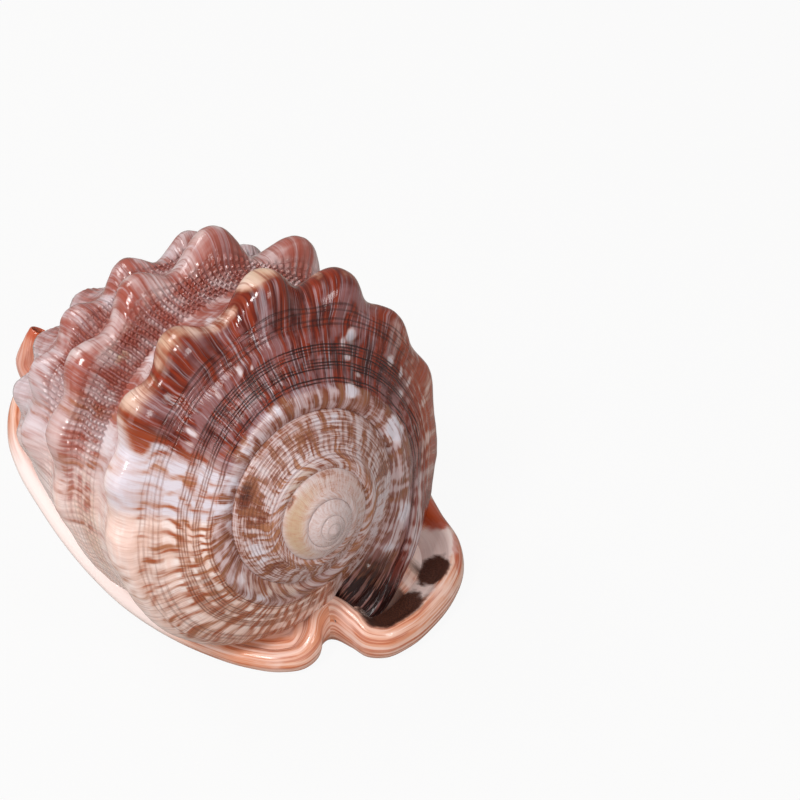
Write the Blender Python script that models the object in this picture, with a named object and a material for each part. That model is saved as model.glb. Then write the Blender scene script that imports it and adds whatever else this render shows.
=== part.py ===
"""Bullmouth helmet shell, resting on its aperture side, in metres with +Z up.

The coiled body is one closed loft that grows along a spiral. The flat lip and shield, the upturned
siphonal canal and the narrow mouth are joined to it or cut from it, so that the shell is one solid.
"""

import math

import bmesh
import bpy
import numpy as np

MM = 0.001

# The coil: the axis runs from the apex towards the canal, and turns count from the top of the shell.
APEX = (-0.0155, -0.0675, 0.0460)
PITCH = math.radians(9.0)
GROWTH = 1.92
SHOULDER = 42.6 * MM
LIP_TURN = 0.47
START_TURN = LIP_TURN - 1.0

# Body profile: place along it, distance from the axis and distance from the apex, both as a share
# of the shoulder radius of that turn.
PROFILE = (
    (0.000, 0.545, 0.332),
    (0.022, 0.582, 0.320),
    (0.080, 0.700, 0.392),
    (0.150, 0.850, 0.490),
    (0.210, 0.965, 0.580),
    (0.255, 1.012, 0.675),
    (0.310, 0.990, 0.800),
    (0.380, 0.962, 0.950),
    (0.450, 0.968, 1.120),
    (0.525, 0.978, 1.300),
    (0.585, 0.930, 1.480),
    (0.645, 0.890, 1.640),
    (0.720, 0.800, 1.890),
    (0.810, 0.640, 2.200),
    (0.890, 0.460, 2.500),
    (0.950, 0.300, 2.720),
    (0.980, 0.210, 2.810),
    (1.000, 0.110, 2.870),
)
NEXT_SUTURE = 0.238
FRONT_DROOP = 11.0 * MM

# How full the last turn is against the plain spiral: turn, factor.
FULLNESS = (
    (-0.60, 1.24),
    (-0.48, 1.23),
    (-0.38, 1.18),
    (-0.28, 1.11),
    (-0.20, 1.06),
    (-0.10, 1.02),
    (0.00, 1.00),
    (0.08, 0.98),
    (0.16, 0.93),
    (0.22, 0.90),
    (0.28, 0.93),
    (0.34, 1.02),
    (0.40, 1.08),
    (0.50, 1.08),
)

# Knobs by row: place on the profile, spread round the turn and along the profile, then the
# angle (from the right-hand side, over the top) and the height of each, as a share of the radius.
KNOB_ROWS = (
    (0.262, 0.028, 0.048, (
        (-14, 0.03), (10, 0.05), (33, 0.06), (57, 0.14), (82, 0.17), (112, 0.17), (133, 0.14),
        (154, 0.06), (178, 0.03))),
    (0.530, 0.025, 0.038, (
        (-20, 0.05), (2, 0.08), (24, 0.12), (47, 0.21), (72, 0.20), (104, 0.16), (131, 0.14),
        (153, 0.10), (177, 0.05))),
    (0.648, 0.022, 0.032, (
        (-2, 0.05), (22, 0.09), (46, 0.12), (71, 0.14), (96, 0.12), (120, 0.11), (141, 0.10),
        (164, 0.05))),
    (0.745, 0.020, 0.024, (
        (34, 0.04), (58, 0.05), (83, 0.06), (107, 0.06), (130, 0.05), (152, 0.04))),
)

TABLE_GAP = 3.5 * MM
EARLY_LIFT = 2.5 * MM
TABLE_SOFTNESS = 2.0 * MM

# Outline of the lip and shield: x, y, height of the rim's middle, half thickness inwards and
# height where it leaves the rim (mm), from the notch round the lip, past the canal and back.
OUTLINE = (
    (-9.5, -55.5, 7.0, 3.5, 13.0),
    (-7.6, -60.5, 6.0, 3.8, 11.0),
    (-6.5, -66.0, 5.0, 4.2, 8.5),
    (-2.5, -69.6, 4.8, 4.5, 7.5),
    (4.5, -69.8, 4.8, 5.0, 7.0),
    (13.5, -66.8, 4.8, 5.5, 7.0),
    (21.5, -62.5, 4.8, 5.5, 7.0),
    (28.5, -56.5, 4.8, 5.5, 7.0),
    (32.8, -49.5, 5.0, 6.0, 7.5),
    (34.5, -40.5, 6.0, 6.5, 9.0),
    (37.0, -30.5, 8.5, 8.0, 13.0),
    (42.5, -19.5, 12.5, 10.0, 18.0),
    (50.5, -8.0, 15.5, 11.0, 22.0),
    (56.5, 5.0, 15.5, 12.0, 22.0),
    (55.5, 18.0, 14.5, 12.0, 21.0),
    (51.0, 31.0, 13.0, 12.0, 19.0),
    (43.5, 43.0, 11.0, 11.0, 16.0),
    (32.0, 53.0, 10.0, 10.0, 14.0),
    (19.0, 60.0, 9.0, 9.0, 13.0),
    (6.0, 65.0, 8.0, 7.0, 12.0),
    (-7.0, 68.0, 7.0, 5.0, 11.0),
    (-18.0, 67.5, 6.0, 4.0, 10.0),
    (-26.0, 61.0, 4.5, 3.5, 9.0),
    (-30.8, 52.0, 3.2, 3.0, 7.5),
    (-34.5, 40.0, 2.8, 3.0, 6.5),
    (-38.0, 26.0, 2.8, 3.0, 6.0),
    (-41.0, 10.0, 2.8, 3.0, 6.0),
    (-42.2, -4.0, 2.8, 3.0, 6.0),
    (-42.0, -16.0, 2.8, 3.0, 6.0),
    (-39.8, -28.5, 2.8, 3.0, 6.0),
    (-35.5, -41.0, 2.8, 3.0, 6.0),
    (-30.0, -51.0, 2.8, 3.0, 6.0),
    (-24.5, -57.0, 3.0, 3.0, 6.5),
    (-19.0, -59.6, 3.6, 3.2, 7.5),
    (-14.5, -58.8, 5.0, 3.4, 9.5),
    (-11.8, -56.3, 6.2, 3.5, 12.0),
)
PLATE_STEPS = 96
PLATE_MIDDLE = (-6.0, 2.0)

COLUMNS = 76
SPIRE_TURNS = 3
BAND_ROWS = 4
BODY_ROWS = 32

# The mouth: middle line, half width and depth (mm), from the notch to the canal.
MOUTH = (
    (-8.0, -51.0, 2.2, 9.0),
    (-6.0, -38.0, 4.2, 15.0),
    (-3.5, -20.0, 5.0, 20.0),
    (-3.5, 0.0, 5.2, 22.0),
    (-6.5, 22.0, 5.0, 19.0),
    (-11.0, 42.0, 4.2, 11.0),
    (-14.0, 58.0, 3.4, 6.5),
)
TOOTH_PITCH = 5.2 * MM
TOOTH_DEPTH = 1.2 * MM

# The canal: centre line and outer radius (mm).
CANAL = (
    (-9.0, 40.0, 15.0, 8.5),
    (-13.0, 53.0, 9.0, 7.0),
    (-16.2, 62.5, 8.5, 5.8),
    (-18.0, 65.5, 13.0, 4.8),
    (-17.0, 64.5, 18.0, 4.0),
    (-15.8, 63.0, 21.5, 3.7),
)
CANAL_BORE = 2.5


def smooth_curve(where, places, values):
    """Cubic through the knots, with tangents from the neighbouring knots."""
    where = np.asarray(where, float)
    places = np.asarray(places, float)
    values = np.asarray(values, float)
    gaps = np.diff(places)
    slopes = np.diff(values) / gaps
    inner = (slopes[1:] * gaps[:-1] + slopes[:-1] * gaps[1:]) / (gaps[1:] + gaps[:-1])
    tangents = np.concatenate([slopes[:1], inner, slopes[-1:]])
    k = np.clip(np.searchsorted(places, where, side="right") - 1, 0, len(gaps) - 1)
    h = gaps[k]
    u = (where - places[k]) / h
    return (
        (2 * u**3 - 3 * u**2 + 1) * values[k]
        + (u**3 - 2 * u**2 + u) * h * tangents[k]
        + (3 * u**2 - 2 * u**3) * values[k + 1]
        + (u**3 - u**2) * h * tangents[k + 1]
    )


def ease(value):
    value = np.clip(value, 0.0, 1.0)
    return value * value * (3 - 2 * value)


def profile(place):
    knots = np.array(PROFILE)
    radius = smooth_curve(place, knots[:, 0], knots[:, 1])
    along = smooth_curve(place, knots[:, 0], knots[:, 2])
    return radius, along


def knob_height(turn, place):
    height = np.zeros(np.broadcast(turn, place).shape)
    for row_place, spread, width, knobs in KNOB_ROWS:
        for angle, top in knobs:
            across = (turn - (90.0 - angle) / 360.0) / spread
            down = (place - row_place) / width
            height += top * np.exp(-(across**2) - down**2)
    return height


def body_point(turn, place):
    """Points of the coiled body, for a turn (0 on top, growing to the lip) and a profile place."""
    turn, place = np.broadcast_arrays(np.asarray(turn, float), np.asarray(place, float))
    full = np.array(FULLNESS)
    factor = smooth_curve(np.clip(turn, full[0, 0], full[-1, 0]), full[:, 0], full[:, 1])
    early = ease((-0.15 - turn) / 0.2)
    late = ease((turn - 0.24) / 0.1)
    begin = 0.16 - 0.11 * early - 0.09 * late
    factor = 1 + (factor - 1) * ease((place - begin) / 0.16) * (turn > START_TURN - 0.001)
    size = SHOULDER * GROWTH**turn * factor
    radius, along = profile(place)
    step = 0.001
    radius_a, along_a = profile(np.clip(place - step, 0, 1))
    radius_b, along_b = profile(np.clip(place + step, 0, 1))
    length = np.hypot(radius_b - radius_a, along_b - along_a)
    height = knob_height(turn, place)
    radius = radius + height * (along_b - along_a) / length
    along = along - height * (radius_b - radius_a) / length
    front = ease((place - 0.40) / 0.60)
    down_axis = along * (size * (1 - front) + SHOULDER * front)
    out = radius * size
    angle = math.radians(90.0) - 2 * math.pi * turn
    drop = np.maximum(-np.sin(angle), 0.05) * math.cos(PITCH)
    gap = TABLE_GAP + EARLY_LIFT * early
    droop = FRONT_DROOP * ease((place - 0.62) / 0.38)
    room = (APEX[2] - gap - droop - down_axis * math.sin(PITCH)) / drop
    spare = (room - out) / TABLE_SOFTNESS
    out = out + TABLE_SOFTNESS * (np.minimum(spare, 0.0) - np.log1p(np.exp(-np.abs(spare))))
    x = APEX[0] + out * np.cos(angle)
    y = APEX[1] + out * np.sin(angle) * math.sin(PITCH) + down_axis * math.cos(PITCH)
    z = APEX[2] + out * np.sin(angle) * math.cos(PITCH) - down_axis * math.sin(PITCH)
    z = z - droop
    return np.stack([x, y, z], axis=-1)


def body_mesh():
    """Vertices and faces of the closed body: spire turns, last turn, front cap and seam wall."""
    band = np.linspace(0.0, NEXT_SUTURE, BAND_ROWS + 1)
    rest = np.linspace(NEXT_SUTURE, 1.0, BODY_ROWS - BAND_ROWS + 1)[1:]
    whole = np.concatenate([band, rest])
    total = COLUMNS * (SPIRE_TURNS + 1)
    numbers = {}
    vertices = []
    columns = []
    for j in range(total + 1):
        places = whole if j >= total - COLUMNS else band
        points = body_point(LIP_TURN - (total - j) / COLUMNS, places)
        column = []
        for i, point in enumerate(points):
            key = (j, i)
            if i == BAND_ROWS and j + COLUMNS <= total:
                key = (j + COLUMNS, 0)
            if key not in numbers:
                numbers[key] = len(vertices)
                vertices.append(tuple(point))
            column.append(numbers[key])
        columns.append(column)
    faces = []
    for left, right in zip(columns[:-1], columns[1:]):
        for i in range(min(len(left), len(right)) - 1):
            faces.append((left[i], right[i], right[i + 1], left[i + 1]))
    apex = len(vertices)
    vertices.append(APEX)
    for j in range(COLUMNS):
        faces.append((apex, columns[j + 1][0], columns[j][0]))
    faces.append((apex, *columns[0][:BAND_ROWS + 1]))
    first = columns[total - COLUMNS]
    last = columns[total]
    front = len(vertices)
    ends = np.array([vertices[column[-1]] for column in columns[total - COLUMNS:]])
    vertices.append(tuple(ends.mean(axis=0)))
    for j in range(total - COLUMNS, total):
        faces.append((front, columns[j][-1], columns[j + 1][-1]))
    faces.append((front, last[-1], first[-1]))
    inner = first[BAND_ROWS:]
    steps_in = len(inner) - 1
    steps_out = len(last) - 1
    a = 0
    b = 0
    while a < steps_in or b < steps_out:
        if b < steps_out and (a == steps_in or (b + 1) * steps_in <= (a + 1) * steps_out):
            if inner[a] != last[b]:
                faces.append((inner[a], last[b], last[b + 1]))
            b += 1
        else:
            if inner[a] != last[b]:
                faces.append((inner[a], last[b], inner[a + 1]))
            a += 1
    return vertices, faces


def closed_curve(rows, steps):
    """Even samples of a smooth closed curve through the rows, spaced by its length in x and y."""
    rows = np.array(rows, float)
    looped = np.concatenate([rows[-3:], rows, rows[:3]])
    run = np.concatenate([[0.0], np.cumsum(np.hypot(*np.diff(looped[:, :2], axis=0).T))])
    start = run[3]
    end = run[3 + len(rows)]
    where = start + (end - start) * np.arange(steps) / steps
    columns = [smooth_curve(where, run, looped[:, k]) for k in range(rows.shape[1])]
    return np.stack(columns, axis=1)


def plate_mesh():
    """The lip and shield: a flat underside, a rolled rim and a hollow top that runs into the body."""
    rim = closed_curve(OUTLINE, PLATE_STEPS)
    centre = rim[:, :2]
    ahead = np.roll(centre, -1, axis=0) - np.roll(centre, 1, axis=0)
    inward = np.stack([-ahead[:, 1], ahead[:, 0]], axis=1)
    inward /= np.linalg.norm(inward, axis=1, keepdims=True)
    for _ in range(3):
        inward = inward + 0.5 * (np.roll(inward, 1, axis=0) + np.roll(inward, -1, axis=0))
        inward /= np.linalg.norm(inward, axis=1, keepdims=True)
    middle = np.array(PLATE_MIDDLE)
    height = rim[:, 2]
    depth = rim[:, 3]
    rings = []

    def ring(share_in, share_up, pull=0.0):
        flat = centre + inward * (depth * share_in)[:, None]
        flat = flat + (middle - flat) * pull
        rings.append(np.column_stack([flat, height * share_up]))

    ring(1.0, 0.0)
    ring(0.55, 0.06)
    ring(0.2, 0.32)
    ring(0.0, 0.85)
    ring(0.12, 1.38)
    ring(0.48, 1.78)
    ring(0.95, 1.85)
    ring(1.45, 1.55)
    flat = centre + inward * (depth * 1.9)[:, None]
    flat = flat + (middle - flat) * 0.06
    inner = rim[:, 4]
    rings.append(np.column_stack([flat, inner]))
    flat = flat + (middle - flat) * 0.26
    rings.append(np.column_stack([flat, np.maximum(inner, 15.0)]))
    vertices = [tuple(p * MM) for ring_points in rings for p in ring_points]
    steps = PLATE_STEPS
    faces = []
    for k in range(len(rings) - 1):
        for j in range(steps):
            n = (j + 1) % steps
            faces.append((k * steps + j, k * steps + n, (k + 1) * steps + n, (k + 1) * steps + j))
    low = len(vertices)
    vertices.append((middle[0] * MM, middle[1] * MM, 0.0))
    high = len(vertices)
    vertices.append((middle[0] * MM, middle[1] * MM, 0.015))
    top = (len(rings) - 1) * steps
    for j in range(steps):
        n = (j + 1) % steps
        faces.append((low, n, j))
        faces.append((high, top + j, top + n))
    return vertices, faces


def mouth_mesh():
    """The cutter of the mouth: a narrow slot with toothed sides that closes in towards its top."""
    knots = np.array(MOUTH) * MM
    run = np.concatenate([[0.0], np.cumsum(np.hypot(*np.diff(knots[:, :2], axis=0).T))])
    steps = 2 * int(run[-1] / TOOTH_PITCH)
    where = np.linspace(0.0, run[-1], steps + 1)
    line = np.stack([smooth_curve(where, run, knots[:, k]) for k in range(4)], axis=1)
    ahead = np.gradient(line[:, :2], axis=0)
    side = np.stack([ahead[:, 1], -ahead[:, 0]], axis=1)
    side /= np.linalg.norm(side, axis=1, keepdims=True)
    wave = np.where(np.arange(steps + 1) % 2, -1.0, 1.0)
    calm = ease(where / 0.012) * ease((run[-1] - where) / 0.012)
    bite = TOOTH_DEPTH * wave * calm
    low = 2.0 * MM
    # each level's height is a fixed part and a share of the depth; then its width and its teeth
    levels = (
        (-low, 0.0, 1.45, 0.0),
        (0.0, 0.0, 1.30, 0.6),
        (low, 0.0, 1.05, 1.0),
        (low, 0.35, 0.85, 0.6),
        (0.0, 1.0, 0.35, 0.0),
    )
    vertices = []
    for fixed, rise, share, tooth in levels:
        for sign in (1.0, -1.0):
            half = line[:, 2] * share + bite * tooth * 0.5
            flat = line[:, :2] + side * (sign * half)[:, None]
            for (x, y), depth in zip(flat, line[:, 3]):
                vertices.append((x, y, fixed + depth * rise))
    count = len(line)
    faces = []

    def at(level, which, k):
        return (level * 2 + which) * count + k

    for level in range(len(levels) - 1):
        for k in range(count - 1):
            for which in (0, 1):
                faces.append((
                    at(level, which, k),
                    at(level, which, k + 1),
                    at(level + 1, which, k + 1),
                    at(level + 1, which, k),
                ))
        for k in (0, count - 1):
            faces.append((at(level, 0, k), at(level, 1, k), at(level + 1, 1, k), at(level + 1, 0, k)))
    for level in (0, len(levels) - 1):
        for k in range(count - 1):
            faces.append((at(level, 0, k), at(level, 0, k + 1), at(level, 1, k + 1), at(level, 1, k)))
    return vertices, faces


def clear_scene():
    for found in list(bpy.data.objects):
        bpy.data.objects.remove(found, do_unlink=True)


def collection(name, hidden):
    made = bpy.data.collections.new(name)
    bpy.context.scene.collection.children.link(made)
    made.hide_render = hidden
    return made


def add_object(name, vertices, faces, home):
    """An object from vertices and faces, with its faces turned outwards."""
    mesh = bpy.data.meshes.new(name)
    mesh.from_pydata([tuple(map(float, v)) for v in vertices], [], faces)
    made = bmesh.new()
    made.from_mesh(mesh)
    bmesh.ops.remove_doubles(made, verts=made.verts, dist=1e-6)
    bmesh.ops.recalc_face_normals(made, faces=made.faces)
    made.to_mesh(mesh)
    made.free()
    mesh.update()
    found = bpy.data.objects.new(name, mesh)
    home.objects.link(found)
    return found


def tube(name, rows, radius_scale, fixed_radius, home):
    """A round tube along a smooth line, with a closed end at each side."""
    curve = bpy.data.curves.new(name, "CURVE")
    curve.dimensions = "3D"
    curve.resolution_u = 3
    curve.bevel_depth = 1.0 * MM
    curve.bevel_resolution = 3
    curve.use_fill_caps = True
    line = curve.splines.new("BEZIER")
    line.bezier_points.add(len(rows) - 1)
    for point, (x, y, z, radius) in zip(line.bezier_points, rows):
        point.co = (x * MM, y * MM, z * MM)
        point.radius = fixed_radius if fixed_radius else radius * radius_scale
        point.handle_left_type = "AUTO"
        point.handle_right_type = "AUTO"
    found = bpy.data.objects.new(name, curve)
    home.objects.link(found)
    bpy.context.view_layer.update()
    solid = bpy.data.meshes.new_from_object(found.evaluated_get(bpy.context.evaluated_depsgraph_get()))
    bpy.data.objects.remove(found, do_unlink=True)
    made = bmesh.new()
    made.from_mesh(solid)
    bmesh.ops.remove_doubles(made, verts=made.verts, dist=1e-6)
    bmesh.ops.recalc_face_normals(made, faces=made.faces)
    made.to_mesh(solid)
    made.free()
    result = bpy.data.objects.new(name, solid)
    home.objects.link(result)
    return result


def boolean(target, other, operation):
    change = target.modifiers.new(operation.title() + " " + other.name, "BOOLEAN")
    change.operation = operation
    change.solver = "EXACT"
    change.object = other


def main():
    clear_scene()
    shown = collection("helmet_shell", False)
    cutters = collection("cutters", True)

    shell = add_object("helmet_shell", *body_mesh(), shown)
    plate = add_object("lip_and_shield", *plate_mesh(), cutters)
    canal = tube("canal_outside", CANAL, 1.0, None, cutters)
    mouth = add_object("mouth_slot", *mouth_mesh(), cutters)
    above = CANAL[-1]
    bore_line = CANAL[1:] + ((above[0] + 0.4, above[1] - 1.2, above[2] + 4.0, above[3]),)
    bore = tube("canal_bore", bore_line, 1.0, CANAL_BORE, cutters)
    for helper in (plate, canal, mouth, bore):
        helper.display_type = "WIRE"
        helper.hide_render = True
    boolean(shell, plate, "UNION")
    boolean(shell, canal, "UNION")
    boolean(shell, mouth, "DIFFERENCE")
    boolean(shell, bore, "DIFFERENCE")

    material = bpy.data.materials.new("glossy_shell")
    material.use_nodes = True
    surface = material.node_tree.nodes["Principled BSDF"]
    surface.inputs["Base Color"].default_value = (0.42, 0.16, 0.08, 1.0)
    surface.inputs["Roughness"].default_value = 0.25
    shell.data.materials.append(material)
    shell.data.shade_smooth()
    shell.data.set_sharp_from_angle(angle=math.radians(40.0))


main()
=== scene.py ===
"""Helmet shell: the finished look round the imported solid, in metres with +Z up.

The shell is modelled as its spire, its last turn, the lip with its shield, and the siphonal canal. The
colour bands follow the growth of the shell: each piece carries how far it has grown and how far down the
whorl it lies, and the materials draw flames, cords and beads from those.
"""

import math

import bmesh
import bpy
import numpy as np
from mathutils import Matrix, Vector, kdtree


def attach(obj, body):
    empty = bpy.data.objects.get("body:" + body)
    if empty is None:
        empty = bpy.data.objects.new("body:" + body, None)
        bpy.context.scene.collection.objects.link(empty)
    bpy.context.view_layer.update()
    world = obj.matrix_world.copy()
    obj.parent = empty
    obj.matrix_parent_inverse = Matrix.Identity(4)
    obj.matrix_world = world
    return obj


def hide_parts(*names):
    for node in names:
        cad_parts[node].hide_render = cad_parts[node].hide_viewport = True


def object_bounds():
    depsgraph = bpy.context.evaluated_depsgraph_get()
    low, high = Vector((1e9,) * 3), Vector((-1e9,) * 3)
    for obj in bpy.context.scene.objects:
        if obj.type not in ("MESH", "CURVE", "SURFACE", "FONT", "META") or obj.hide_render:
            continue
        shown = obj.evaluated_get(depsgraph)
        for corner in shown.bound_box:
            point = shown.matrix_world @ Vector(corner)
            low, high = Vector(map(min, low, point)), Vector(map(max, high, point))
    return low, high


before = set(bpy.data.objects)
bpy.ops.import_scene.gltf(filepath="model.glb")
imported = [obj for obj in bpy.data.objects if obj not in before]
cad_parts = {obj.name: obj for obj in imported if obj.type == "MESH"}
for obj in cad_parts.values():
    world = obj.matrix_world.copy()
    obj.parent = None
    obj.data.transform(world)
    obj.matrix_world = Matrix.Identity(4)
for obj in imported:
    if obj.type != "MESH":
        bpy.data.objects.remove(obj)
CAD_LOW, CAD_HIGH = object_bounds()

bl_info = {
    "name": "Helmet shell",
    "version": (1, 0, 0),
    "blender": (4, 5, 0),
    "location": "3D View > Sidebar > Helmet shell",
    "description": "Models a helmet shell and its glazed, banded surface",
    "category": "Object",
}

MM = 0.001
NODE = "helmet_shell"
# How finely meeting edges are welded, and the free edge of each bake map.
WELD = 1e-6
MAP_MARGIN = 0.003
# Polished shell: how it bends light and how strongly it shines.
SHELL_IOR = 1.53
SHELL_SHINE = 0.36

# The coil, in the same values as the solid: the axis runs from the apex towards the canal, and turns
# count from the top of the shell.
APEX = (-0.0155, -0.0675, 0.0460)
PITCH = math.radians(9.0)
GROWTH = 1.92
SHOULDER = 42.6 * MM
LIP_TURN = 0.47
START_TURN = LIP_TURN - 1.0
# Profile of the whorl: place from the suture to the canal, distance from the axis and along it.
PROFILE = (
    (0.0, 0.545, 0.332), (0.022, 0.582, 0.32), (0.08, 0.7, 0.392), (0.15, 0.85, 0.49),
    (0.21, 0.965, 0.58), (0.255, 1.012, 0.675), (0.31, 0.99, 0.8), (0.38, 0.962, 0.95),
    (0.45, 0.968, 1.12), (0.525, 0.978, 1.3), (0.585, 0.93, 1.48), (0.645, 0.89, 1.64),
    (0.72, 0.8, 1.89), (0.81, 0.64, 2.2), (0.89, 0.46, 2.5), (0.95, 0.3, 2.72), (0.98, 0.21, 2.81),
    (1.0, 0.11, 2.87),
)
# Place on the profile at which the next turn starts.
NEXT_SUTURE = 0.238
# Where the last turn is parted into its shoulder and its front.
SHOULDER_END = 0.385
FRONT_DROOP = 11.0 * MM
# Fullness of the last turn: turn, share.
FULLNESS = (
    (-0.6, 1.24), (-0.48, 1.23), (-0.38, 1.18), (-0.28, 1.11), (-0.2, 1.06), (-0.1, 1.02), (0.0, 1.0),
    (0.08, 0.98), (0.16, 0.93), (0.22, 0.905), (0.28, 0.945), (0.34, 1.05), (0.4, 1.08), (0.5, 1.08),
)
# Rows of knobs: place, reach round and down, then each knob's angle and height.
KNOB_ROWS = (
    (0.258, 0.0255, 0.048, (
        (-14, 0.03), (10, 0.05), (33, 0.07), (57, 0.145), (82, 0.185), (112, 0.185), (133, 0.155),
        (154, 0.08), (178, 0.04))),
    (0.530, 0.0275, 0.040, (
        (-20, 0.05), (2, 0.08), (22, 0.12), (45, 0.21), (76, 0.205), (104, 0.165), (131, 0.145),
        (153, 0.11), (177, 0.05))),
    (0.648, 0.024, 0.034, (
        (-2, 0.05), (22, 0.09), (46, 0.13), (71, 0.15), (96, 0.13), (120, 0.12), (141, 0.12),
        (164, 0.09))),
    (0.745, 0.021, 0.026, (
        (34, 0.04), (58, 0.05), (83, 0.06), (107, 0.08), (130, 0.08), (152, 0.08), (172, 0.05))),
)
# The turn swells towards the spire where the lip leaves it, most at its end.
LIP_SWELL = 5.5 * MM
END_SWELL = 4.0 * MM
# How far the coil stays off the table, how much more under the early part of the turn, and how softly.
TABLE_GAP = 3.5 * MM
EARLY_LIFT = 2.5 * MM
TABLE_SOFTNESS = 2.0 * MM
SPIRE_TURNS = 5

# The lip's outline from above, in mm: x, y, height of the rim, half its thickness, height of the floor.
OUTLINE = (
    (-9.5, -55.5, 7.0, 3.5, 13.0), (-7.6, -60.0, 6.0, 3.6, 10.0), (-6.3, -64.8, 5.0, 3.6, 7.5),
    (-2.5, -67.9, 4.6, 3.5, 6.0), (4.5, -68.4, 4.6, 3.4, 5.4), (13.5, -66.0, 4.6, 3.4, 5.2),
    (21.5, -62.2, 4.6, 3.4, 5.2), (28.5, -56.5, 4.6, 3.5, 5.2), (32.8, -49.5, 5.0, 3.8, 5.6),
    (34.5, -40.5, 6.0, 5.0, 8.0), (37.0, -30.5, 8.5, 8.0, 13.0), (42.5, -19.5, 12.5, 10.0, 18.0),
    (50.5, -8.0, 15.5, 11.0, 22.0), (56.3, 5.0, 15.5, 12.0, 22.0), (55.5, 18.0, 14.5, 12.0, 21.0),
    (51.0, 31.0, 13.0, 12.0, 19.0), (43.5, 43.0, 11.0, 11.0, 16.0), (32.0, 53.0, 10.0, 10.0, 14.0),
    (19.0, 60.0, 9.0, 9.0, 13.0), (6.0, 65.0, 8.0, 7.0, 12.0), (-7.0, 68.0, 7.0, 5.0, 11.0),
    (-18.0, 67.5, 6.0, 4.0, 10.0), (-26.4, 61.5, 4.5, 3.5, 9.0), (-32.4, 52.5, 3.2, 3.0, 7.5),
    (-36.6, 40.5, 2.8, 3.0, 6.5), (-39.4, 26.0, 2.8, 3.0, 6.0), (-41.6, 10.0, 2.8, 3.0, 6.0),
    (-42.4, -4.0, 2.8, 3.0, 6.0), (-42.0, -16.0, 2.8, 3.0, 6.0), (-39.8, -28.5, 2.8, 3.0, 6.0),
    (-35.5, -41.0, 2.8, 3.0, 6.0), (-30.0, -51.0, 2.8, 3.0, 6.0), (-24.5, -57.0, 3.0, 3.0, 6.5),
    (-19.0, -59.6, 3.6, 3.2, 7.5), (-14.5, -58.8, 5.0, 3.4, 9.5), (-11.8, -56.3, 6.2, 3.5, 12.0),
)
# Row of the outline beside the tip of the canal.
CANAL_TIP_ROW = 20.6
# The mouth between lip and shield, in mm: x, y, half width, depth.
MOUTH = (
    (-8.0, -51.0, 2.2, 9.0), (-6.0, -38.0, 4.2, 15.0), (-3.5, -20.0, 5.0, 20.0), (-3.5, 0.0, 5.2, 22.0),
    (-6.5, 22.0, 5.0, 19.0), (-11.0, 42.0, 4.2, 11.0), (-14.0, 58.0, 3.4, 6.5),
)
# The siphonal canal, in mm: x, y, z, radius.
CANAL = (
    (-9.0, 40.0, 15.0, 8.5), (-13.0, 53.0, 9.0, 7.0), (-16.2, 62.3, 8.5, 4.8), (-18.0, 65.3, 13.0, 3.1),
    (-16.3, 64.7, 17.6, 3.0), (-14.0, 64.8, 21.2, 2.7),
)

# Rim section: share of the half thickness inwards and share of the rim height, from the underside over
# the rim to the top.
RIM_SECTION = (
    (1.0, 0.0), (0.55, 0.06), (0.2, 0.32), (0.0, 0.85), (0.12, 1.38), (0.48, 1.78), (0.95, 1.85),
    (1.45, 1.55),
)
# Inside the mouth, in mm: its height under the coil, and from one tooth or fold to the next.
THROAT_TOP = 27.0
TOOTH_PITCH = 5.2
FOLD_PITCH = 3.6

# Spiral cords: place on the profile and the running number of the cord there. Between two rows the
# cords are evenly spaced.
CORDS = (
    (0.000, 0.0), (0.056, 1.0), (0.070, 3.0), (0.084, 4.0), (0.102, 7.0), (0.112, 8.0), (0.136, 12.0),
    (0.166, 13.0), (0.186, 15.0), (0.193, 16.0), (0.211, 18.0), (0.300, 19.0), (0.395, 20.0),
    (0.455, 24.0), (0.465, 25.0), (0.502, 28.0), (0.583, 29.0), (0.622, 32.0), (0.700, 33.0), (0.760, 36.0),
    (0.800, 37.0), (1.0, 43.0),
)
# How far the cords near the suture stray down the whorl: turn, place.
DRIFT = (
    (-0.6, 0.03), (-0.42, 0.026), (-0.36, 0.017), (-0.3, 0.01), (-0.25, 0.004), (-0.2, -0.006),
    (-0.15, -0.012), (-0.1, -0.006), (-0.05, 0.0), (0.0, 0.004), (0.05, 0.001), (0.1, -0.003),
    (0.15, -0.006), (0.2, -0.003), (0.26, 0.01), (0.5, 0.015),
)
# Belts in which the cords show, down the whorl: low edge, high edge, softness.
CLUSTERS = ((0.056, 0.070, 0.003), (0.084, 0.102, 0.003), (0.112, 0.136, 0.003))
FAINT_CORDS = ((0.166, 0.186, 0.004), (0.193, 0.211, 0.004))
FRONT_CORDS = ((0.400, 0.455, 0.006), (0.465, 0.505, 0.006))
# Pale windows between them.
WINDOWS = ((0.139, 0.163, 0.003), (0.072, 0.082, 0.002), (0.104, 0.110, 0.002))
# Ribs across the cords: turns from one to the next.
RIB_PITCH = 0.0060
# Way round the last turn at its shoulder.
ROUND_MM = 264.0

# The camera looks down on the spire from in front and the left; angles in degrees, lens in mm.
CAMERA_PLACE = (-0.2751, -0.4414, 0.4382)
CAMERA_TURN = -36.5
CAMERA_HEIGHT = 38.0
CAMERA_LENS = 124.2
FLOOR_SIZE = 6.0
FLOOR_GAP = 0.1 * MM
LAMPS_AIM = (0.0, 0.0, 0.03)


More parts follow.
